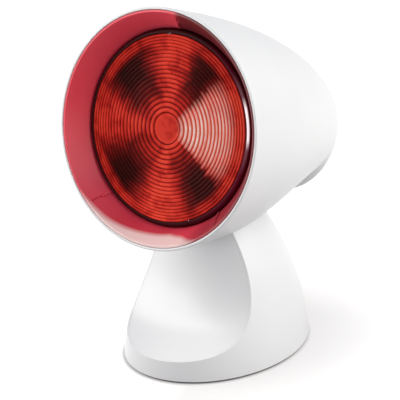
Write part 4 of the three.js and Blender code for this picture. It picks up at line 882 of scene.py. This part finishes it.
def make_shade():
    """The shade's wall from inside over its rounded lip to the back, with the belly's and the air slots."""
    bm = bmesh.new()
    places = []

    def ring(inset, share, radius=None, depth=None):
        places.append(lambda turn: shade_place(turn, inset, share, radius, depth))

    inner_length = SHADE_LENGTH - SHADE_WALL
    lip_radius = SHADE_RADIUS - LIP_WIDTH
    for i in range(SHADE_INNER_RINGS, 0, -1):
        along = i / SHADE_INNER_RINGS
        share = 1 - (1 - along) ** RING_POWER
        if share * inner_length > LIP_DEPTH:
            ring(SHADE_WALL, share)
    ring(SHADE_WALL, LIP_DEPTH / inner_length)
    ring(0, 0, lip_radius, LIP_DEPTH)
    ring(0, 0, lip_radius, RIM_ROUND / 2)
    for quarter_share in (1 / 3, 2 / 3, 1):
        bend = quarter_share * math.pi / 2
        ring(0, 0, lip_radius + RIM_ROUND / 2 * (1 - math.cos(bend)), RIM_ROUND / 2 * (1 - math.sin(bend)))
    for quarter_share in (0, 0.25, 0.5, 0.75, 1):
        bend = quarter_share * math.pi / 2
        ring(0, 0, SHADE_RADIUS - RIM_ROUND * (1 - math.sin(bend)), RIM_ROUND * (1 - math.cos(bend)))
    for i in range(1, SHADE_RINGS + 1):
        share = 1 - (1 - i / SHADE_RINGS) ** RING_POWER
        ring(0, share)
    first, last = grow_rings(bm, SHADE_SIDES, places)
    close_pole(bm, first)
    close_pole(bm, last)
    shell = new_object("shade_skin", bm)
    slot_length = SLOT_BACK_Y - SLOT_FRONT_Y
    slot_middle = Matrix.Translation((0, (SLOT_FRONT_Y + SLOT_BACK_Y) / 2, (SLOT_LOW + SLOT_HIGH) / 2))
    cutters = [new_object("slot", box_bm(
        2 * SLOT_HALF_WIDTH, slot_length, SLOT_HIGH - SLOT_LOW, slot_middle, SLOT_CORNER, 2,
    ))]
    tip = SHADE_FRAME @ Vector((0, -SHADE_DROOP, -SHADE_LENGTH))
    for i in range(VENT_COUNT):
        z = tip.z + (i - (VENT_COUNT - 1) / 2) * VENT_PITCH
        place = Matrix.Translation((0, tip.y, z))
        vent = box_bm(VENT_WIDTH, VENT_REACH, VENT_HEIGHT, place, VENT_HEIGHT * VENT_ROUNDING_SHARE, 1)
        cutters.append(new_object(f"vent_{i}", vent))
    cut_with(shell, cutters)
    soften(shell)
    dress(shell, "shade", "white_gloss", white_gloss, "shade_shell")


def turned_skin(profile, sides):
    """A turned skin in the shade's axes from (radius, depth) corners, with its two end rings."""
    bm = bmesh.new()
    places = [
        lambda turn, r=r, d=d: SHADE_FRAME @ Vector((math.cos(turn) * r, math.sin(turn) * r, -d))
        for r, d in profile
    ]
    return bm, *grow_rings(bm, sides, places)


# How much of a side the roundings at its two ends may each take
CORNER_ROOM_SHARE = 1 / 2.2


def rounded(profile, radius, steps=4):
    """The same profile with each corner turned into a small arc."""
    made = [profile[0]]
    for before, here, after in zip(profile, profile[1:], profile[2:]):
        a = Vector(before) - Vector(here)
        b = Vector(after) - Vector(here)
        reach = min(radius, a.length * CORNER_ROOM_SHARE, b.length * CORNER_ROOM_SHARE)
        start = Vector(here) + a.normalized() * reach
        end = Vector(here) + b.normalized() * reach
        for i in range(steps + 1):
            t = i / steps
            made.append(tuple(start * (1 - t) ** 2 + Vector(here) * 2 * t * (1 - t) + end * t * t))
    made.append(profile[-1])
    return made


def funnel_radius(depth):
    share = (depth - MOUTH_SETBACK) / (THROAT_DEPTH - MOUTH_SETBACK)
    return MOUTH_RADIUS + (THROAT_RADIUS - MOUTH_RADIUS) * share


def funnel_bar(place, width, height, start_depth, end_depth):
    """A bar that lies half in the funnel's wall at a seam."""
    degrees, lean = place
    middle_depth = (start_depth + end_depth) / 2
    slope = math.atan2(MOUTH_RADIUS - THROAT_RADIUS, THROAT_DEPTH - MOUTH_SETBACK)
    # A leaning bar turns about the middle of its seam
    seam_middle = (MOUTH_SETBACK + THROAT_DEPTH) / 2
    seat = Vector((0, funnel_radius(seam_middle), -seam_middle))
    turn = Matrix.Rotation(math.radians(degrees - 90), 4, "Z")
    tilt = Matrix.Rotation(-slope, 4, "X") @ Matrix.Rotation(math.radians(lean), 4, "Y")
    along = Matrix.Translation((0, 0, seam_middle - middle_depth))
    matrix = SHADE_FRAME @ turn @ Matrix.Translation(seat) @ tilt @ along
    return new_object("bar", box_bm(width, 2 * height, end_depth - start_depth, matrix, width / 4, 2))


def make_funnel():
    """The red funnel: a cone inward, a throat over the glass, a land round the bulb, and its tail."""
    tail_radius = LAND_RADIUS - 3 * FUNNEL_WALL
    step_depth = LIP_DEPTH - FIT_GAP
    corners = [
        (MOUTH_RADIUS + FUNNEL_WALL / 2, MOUTH_SETBACK),
        (MOUTH_RADIUS, MOUTH_SETBACK),
        (THROAT_RADIUS, THROAT_DEPTH),
        (THROAT_RADIUS, THROAT_BACK_DEPTH),
        (LAND_RADIUS, THROAT_END_DEPTH),
        (LAND_RADIUS, LAND_DEPTH),
        (tail_radius, FUNNEL_END_DEPTH),
        (tail_radius + FUNNEL_WALL, FUNNEL_END_DEPTH),
        (LAND_RADIUS + FUNNEL_WALL, LAND_DEPTH),
        (LAND_RADIUS + FUNNEL_WALL, THROAT_DEPTH),
        (funnel_radius(LIP_DEPTH + FIT_GAP) + FUNNEL_WALL, step_depth),
        (MOUTH_RADIUS + FUNNEL_WALL, step_depth),
        (MOUTH_RADIUS + FUNNEL_WALL, MOUTH_SETBACK),
        (MOUTH_RADIUS + FUNNEL_WALL / 2, MOUTH_SETBACK),
    ]
    bm, _, _ = turned_skin(rounded(corners, FUNNEL_ROUNDING), SHADE_SIDES)
    funnel = new_object("funnel_skin", bm)
    cut_with(funnel, [
        funnel_bar(place, SEAM_WIDTH, SEAM_DEPTH, SEAM_START_DEPTH, RIB_START_DEPTH + SEAM_OVERLAP)
        for place in SEAM_PLACES
    ])
    cut_with(funnel, [
        funnel_bar(place, RIB_WIDTH, RIB_HEIGHT, RIB_START_DEPTH, RIB_END_DEPTH) for place in SEAM_PLACES
    ], "UNION")
    soften(funnel, FUNNEL_EDGE_ANGLE)
    dress(funnel, "shade", "funnel_red", funnel_red, "reflector_funnel")


def dome_depth(radius):
    return LENS_FACE_DEPTH + LENS_DOME * (radius / LENS_RADIUS) ** 3


def ridge_radius(count):
    """The radius at which this many ridges are passed, counted from the middle."""
    share = count / RIDGE_COUNT
    graded = share * (1 + RIDGE_GRADING * (1 - share))
    return LENS_CENTRE_RADIUS + (LENS_FACE_RADIUS - LENS_CENTRE_RADIUS) * graded


def make_lens():
    """The lens with its ridges, and the plain rim round it that the mirror is fused to."""
    profile = [(LENS_POLE_RADIUS, LENS_FACE_DEPTH)]
    for i in range(1, LENS_CENTRE_RINGS):
        radius = LENS_CENTRE_RADIUS * i / LENS_CENTRE_RINGS
        profile.append((radius, dome_depth(radius)))
    for i in range(RIDGE_COUNT):
        for j in range(RIDGE_STEPS):
            share = j / RIDGE_STEPS
            radius = ridge_radius(i + share)
            lift = RIDGE_HEIGHT * math.sin(math.pi * share)
            profile.append((radius, dome_depth(radius) - lift))
    profile.append((LENS_FACE_RADIUS, dome_depth(LENS_FACE_RADIUS)))
    profile.append((LENS_FACE_RADIUS, dome_depth(LENS_FACE_RADIUS) + LENS_THICKNESS))
    for i in range(LENS_BACK_RINGS - 1, 0, -1):
        radius = LENS_RADIUS * i / LENS_BACK_RINGS
        profile.append((radius, dome_depth(radius) + LENS_THICKNESS))
    bm, first, last = turned_skin(profile, SHADE_SIDES)
    close_pole(bm, first)
    close_pole(bm, last)
    lens = new_object("ridged_lens", bm)
    soften(lens, LENS_EDGE_ANGLE)
    dress(lens, "shade", "ruby_glass", ruby_glass, "bulb_lens")
    edge_depth = dome_depth(LENS_RADIUS)
    rim = [(LENS_RADIUS, RING_SEAM_DEPTH), (LENS_RADIUS, edge_depth + RIM_GROOVE)]
    for i in range(RING_STEPS + 1):
        across = math.sin(math.pi / 2 * i / RING_STEPS)
        drop = 1 - max(1 - across ** RING_SQUARENESS, 0) ** (1 / RING_SQUARENESS)
        radius = LENS_RADIUS + RIM_GROOVE + (RING_WIDTH - RIM_GROOVE) * across
        rim.append((radius, edge_depth + RING_DROP * drop))
    rim.append((RIM_RADIUS, THROAT_END_DEPTH))
    rim.append((BULB_RADIUS, THROAT_END_DEPTH + RIM_GROOVE))
    rim.append((BULB_RADIUS, RING_SEAM_DEPTH))
    rim.append((LENS_RADIUS, RING_SEAM_DEPTH))
    bm, _, _ = turned_skin(rim, SHADE_SIDES)
    ring = new_object("lens_rim", bm)
    soften(ring, LENS_EDGE_ANGLE)
    dress(ring, "shade", "ruby_glass", ruby_rim, "bulb_lens")


make_foot()
make_switch()
make_shade()
make_funnel()
make_lens()

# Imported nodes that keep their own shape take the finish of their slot
FINISHES = {
    "white_satin": white_satin,
    "mirrored_glass": mirror,
    "nickel_steel": nickel_steel,
    "brass": brass,
    "tungsten": tungsten,
    "ceramic": ceramic,
    "black_glass": black_glass,
    "black_plastic": black_plastic,
    "black_rubber": black_rubber,
    "pad_rubber": pad_rubber,
    "grey_plastic": grey_plastic,
    "cast_iron": cast_iron,
    "brown_lead": brown_lead,
    "blue_lead": blue_lead,
}
# The hinge pocket's grey is painted shadow in the gap under the lamp's shade
OWN_FINISHES = {"hinge_pocket": pocket_painted_shadow_grey}

for subpart in frame["record"]["subparts"]:
    kept = frame["nodes"][subpart["node"]]
    if kept.hide_render:
        continue
    kept.data.materials.clear()
    kept.data.materials.append(OWN_FINISHES.get(kept.name, FINISHES[subpart["material_slot"]]))
    for polygon in kept.data.polygons:
        polygon.use_smooth = True
    weld = kept.modifiers.new("weld", "WELD")
    weld.merge_threshold = WELD_REACH * MM
    split = kept.modifiers.new("edges", "EDGE_SPLIT")
    split.split_angle = EDGE_ANGLE


# Stage: a white floor, soft lights and the photograph's camera

def room(x, y, z):
    """A place in millimetres of the row frame, in metres."""
    return Vector((x, y, z)) * MM


def seen_share(tree):
    """1 where the camera looks, straight or through gloss and glass, and 0 for light on the lamp."""
    path = node(tree, "ShaderNodeLightPath").outputs
    seen = path["Is Camera Ray"]
    for kind in ("Is Glossy Ray", "Is Transmission Ray"):
        seen = node(tree, "ShaderNodeMath", {"operation": "MAXIMUM"}, i0=seen, i1=path[kind]).outputs[0]
    return seen


FLOOR_SIZE = 6
# Grey for the light that it throws back at the lamp. The white that the camera sees is added
FLOOR_GREY = "#9E9A9A"
# The glow outward from the lamp's middle, by shares of its reach, which is in half widths of the foot:
# none below the foot, so that its shadow and the gap below it show, then rising to full white
FLOOR_GLOW_REACH = 8
FLOOR_GLOW_SHARES = ((0.122, 0.0), (0.126, 0.58), (0.17, 0.66), (0.26, 0.86), (0.5, 1.0))
FOOT_EDGE_SHARES = (0.98, 1.04)
# The camera's right along the floor, and where along it the floor's painted light turns from white to shaded
RIGHT_ACROSS = (0.814, 0.581, 0)
WHITE_SIDE = -60
SHADED_SIDE = 20


def make_floor():
    bm = bmesh.new()
    bmesh.ops.create_grid(bm, x_segments=1, y_segments=1, size=FLOOR_SIZE)
    mesh = bpy.data.meshes.new("floor")
    bm.to_mesh(mesh)
    bm.free()
    floor = bpy.data.objects.new("floor", mesh)
    bpy.context.scene.collection.objects.link(floor)
    material, tree, shader = new_material(
        "white_floor", Base_Color=linear(FLOOR_GREY), Roughness=0.9, Specular_IOR_Level=0.1,
    )
    place = node(tree, "ShaderNodeTexCoord").outputs["Object"]
    scaled = node(
        tree, "ShaderNodeMapping", {"vector_type": "TEXTURE"}, Vector=place,
        Location=(0, SHIFT_Y * MM, 0), Scale=(FOOT_WIDTH / 2 * MM, FOOT_DEPTH / 2 * MM, 1),
    ).outputs["Vector"]
    away = node(tree, "ShaderNodeVectorMath", {"operation": "LENGTH"}, i0=scaled).outputs["Value"]
    away_share = node(tree, "ShaderNodeMapRange", Value=away, From_Max=FLOOR_GLOW_REACH).outputs[0]
    fade = node(tree, "ShaderNodeValToRGB", stops=FLOOR_GLOW_SHARES, Fac=away_share).outputs["Color"]
    # Painted light: left of the lamp the floor glows white right up to the foot, over its shadow
    across = node(tree, "ShaderNodeVectorMath", {"operation": "DOT_PRODUCT"}, i0=place, i1=RIGHT_ACROSS)
    side = node(
        tree, "ShaderNodeMapRange", Value=across.outputs["Value"],
        From_Min=WHITE_SIDE * MM, From_Max=SHADED_SIDE * MM, To_Min=1.0, To_Max=0.0,
    ).outputs[0]
    outside = node(
        tree, "ShaderNodeMapRange", Value=away, From_Min=FOOT_EDGE_SHARES[0], From_Max=FOOT_EDGE_SHARES[1],
    ).outputs[0]
    lift = node(tree, "ShaderNodeMath", {"operation": "MULTIPLY"}, i0=side, i1=outside).outputs[0]
    fade = node(tree, "ShaderNodeMath", {"operation": "MAXIMUM"}, i0=fade, i1=lift).outputs[0]
    glow = node(tree, "ShaderNodeMath", {"operation": "MULTIPLY"}, i0=seen_share(tree), i1=fade).outputs[0]
    lit = node(tree, "ShaderNodeEmission", Color=(1, 1, 1, 1), Strength=glow)
    both = node(tree, "ShaderNodeAddShader", i0=shader.outputs["BSDF"], i1=lit.outputs["Emission"])
    output = next(n for n in tree.nodes if n.type == "OUTPUT_MATERIAL")
    tree.links.new(both.outputs["Shader"], output.inputs["Surface"])
    floor.data.materials.append(material)


WORLD_LEVEL = 0.17
WORLD_TINT = "#C6D8F4"


def make_world():
    """A room that the camera sees as white, and that lights the lamp faintly and a little blue."""
    world = bpy.data.worlds.new("white_room")
    bpy.context.scene.world = world
    world.use_nodes = True
    tree = world.node_tree
    tree.nodes.clear()
    seen = seen_share(tree)
    strength = node(
        tree, "ShaderNodeMapRange", Value=seen, To_Min=WORLD_LEVEL, To_Max=1.0,
    ).outputs["Result"]
    tint = node(
        tree, "ShaderNodeMix", {"data_type": "RGBA"}, i0=seen, i6=linear(WORLD_TINT), i7=(1, 1, 1, 1),
    ).outputs[2]
    back = node(tree, "ShaderNodeBackground", Color=tint, Strength=strength)
    node(tree, "ShaderNodeOutputWorld", Surface=back.outputs["Background"])


# The middle of the lamp, which the camera and the lights look at
TARGET = room(0, -16.96, 110)
SOFTBOX_COLOUR = "#FFFDF7"
SOFTBOX_DISTANCE = 1.3


def softbox(name, direction, width, height, power):
    """An area light in this direction from the lamp, turned towards its middle."""
    light = bpy.data.lights.new(name, "AREA")
    light.shape = "RECTANGLE"
    light.size = width
    light.size_y = height
    light.energy = power
    light.color = linear(SOFTBOX_COLOUR)[:3]
    lamp = bpy.data.objects.new(name, light)
    away = Vector(direction).normalized()
    lamp.location = TARGET + away * SOFTBOX_DISTANCE
    lamp.rotation_mode = "QUATERNION"
    lamp.rotation_quaternion = (-away).to_track_quat("-Z", "Y")
    bpy.context.scene.collection.objects.link(lamp)


CAMERA_AWAY = Vector((0.5497, -0.7695, 0.3251))
CAMERA_DISTANCE = 1.0
CAMERA_LENS = 142.9
CAMERA_SENSOR = 36
CAMERA_SHIFT = (-0.045, -0.0497)


def make_camera():
    data = bpy.data.cameras.new("camera")
    data.lens = CAMERA_LENS
    data.sensor_width = CAMERA_SENSOR
    data.shift_x, data.shift_y = CAMERA_SHIFT
    camera = bpy.data.objects.new("camera", data)
    away = CAMERA_AWAY.normalized()
    camera.location = TARGET + away * CAMERA_DISTANCE
    camera.rotation_mode = "QUATERNION"
    camera.rotation_quaternion = (-away).to_track_quat("-Z", "Y")
    bpy.context.scene.collection.objects.link(camera)
    bpy.context.scene.camera = camera


make_floor()
make_world()
make_camera()
# Two broad walls of light, and a narrow strip at the right front for the gloss
softbox("left_wall", (-0.73, -0.57, 0.375), 1.3, 1.3, 17)
softbox("right_wall", (0.763, 0.324, 0.559), 1.4, 1.4, 15.4)
softbox("strip", (0.85, -0.395, 0.36), 0.08, 1.1, 3.7)

bpy.context.scene.view_settings.view_transform = "Standard"
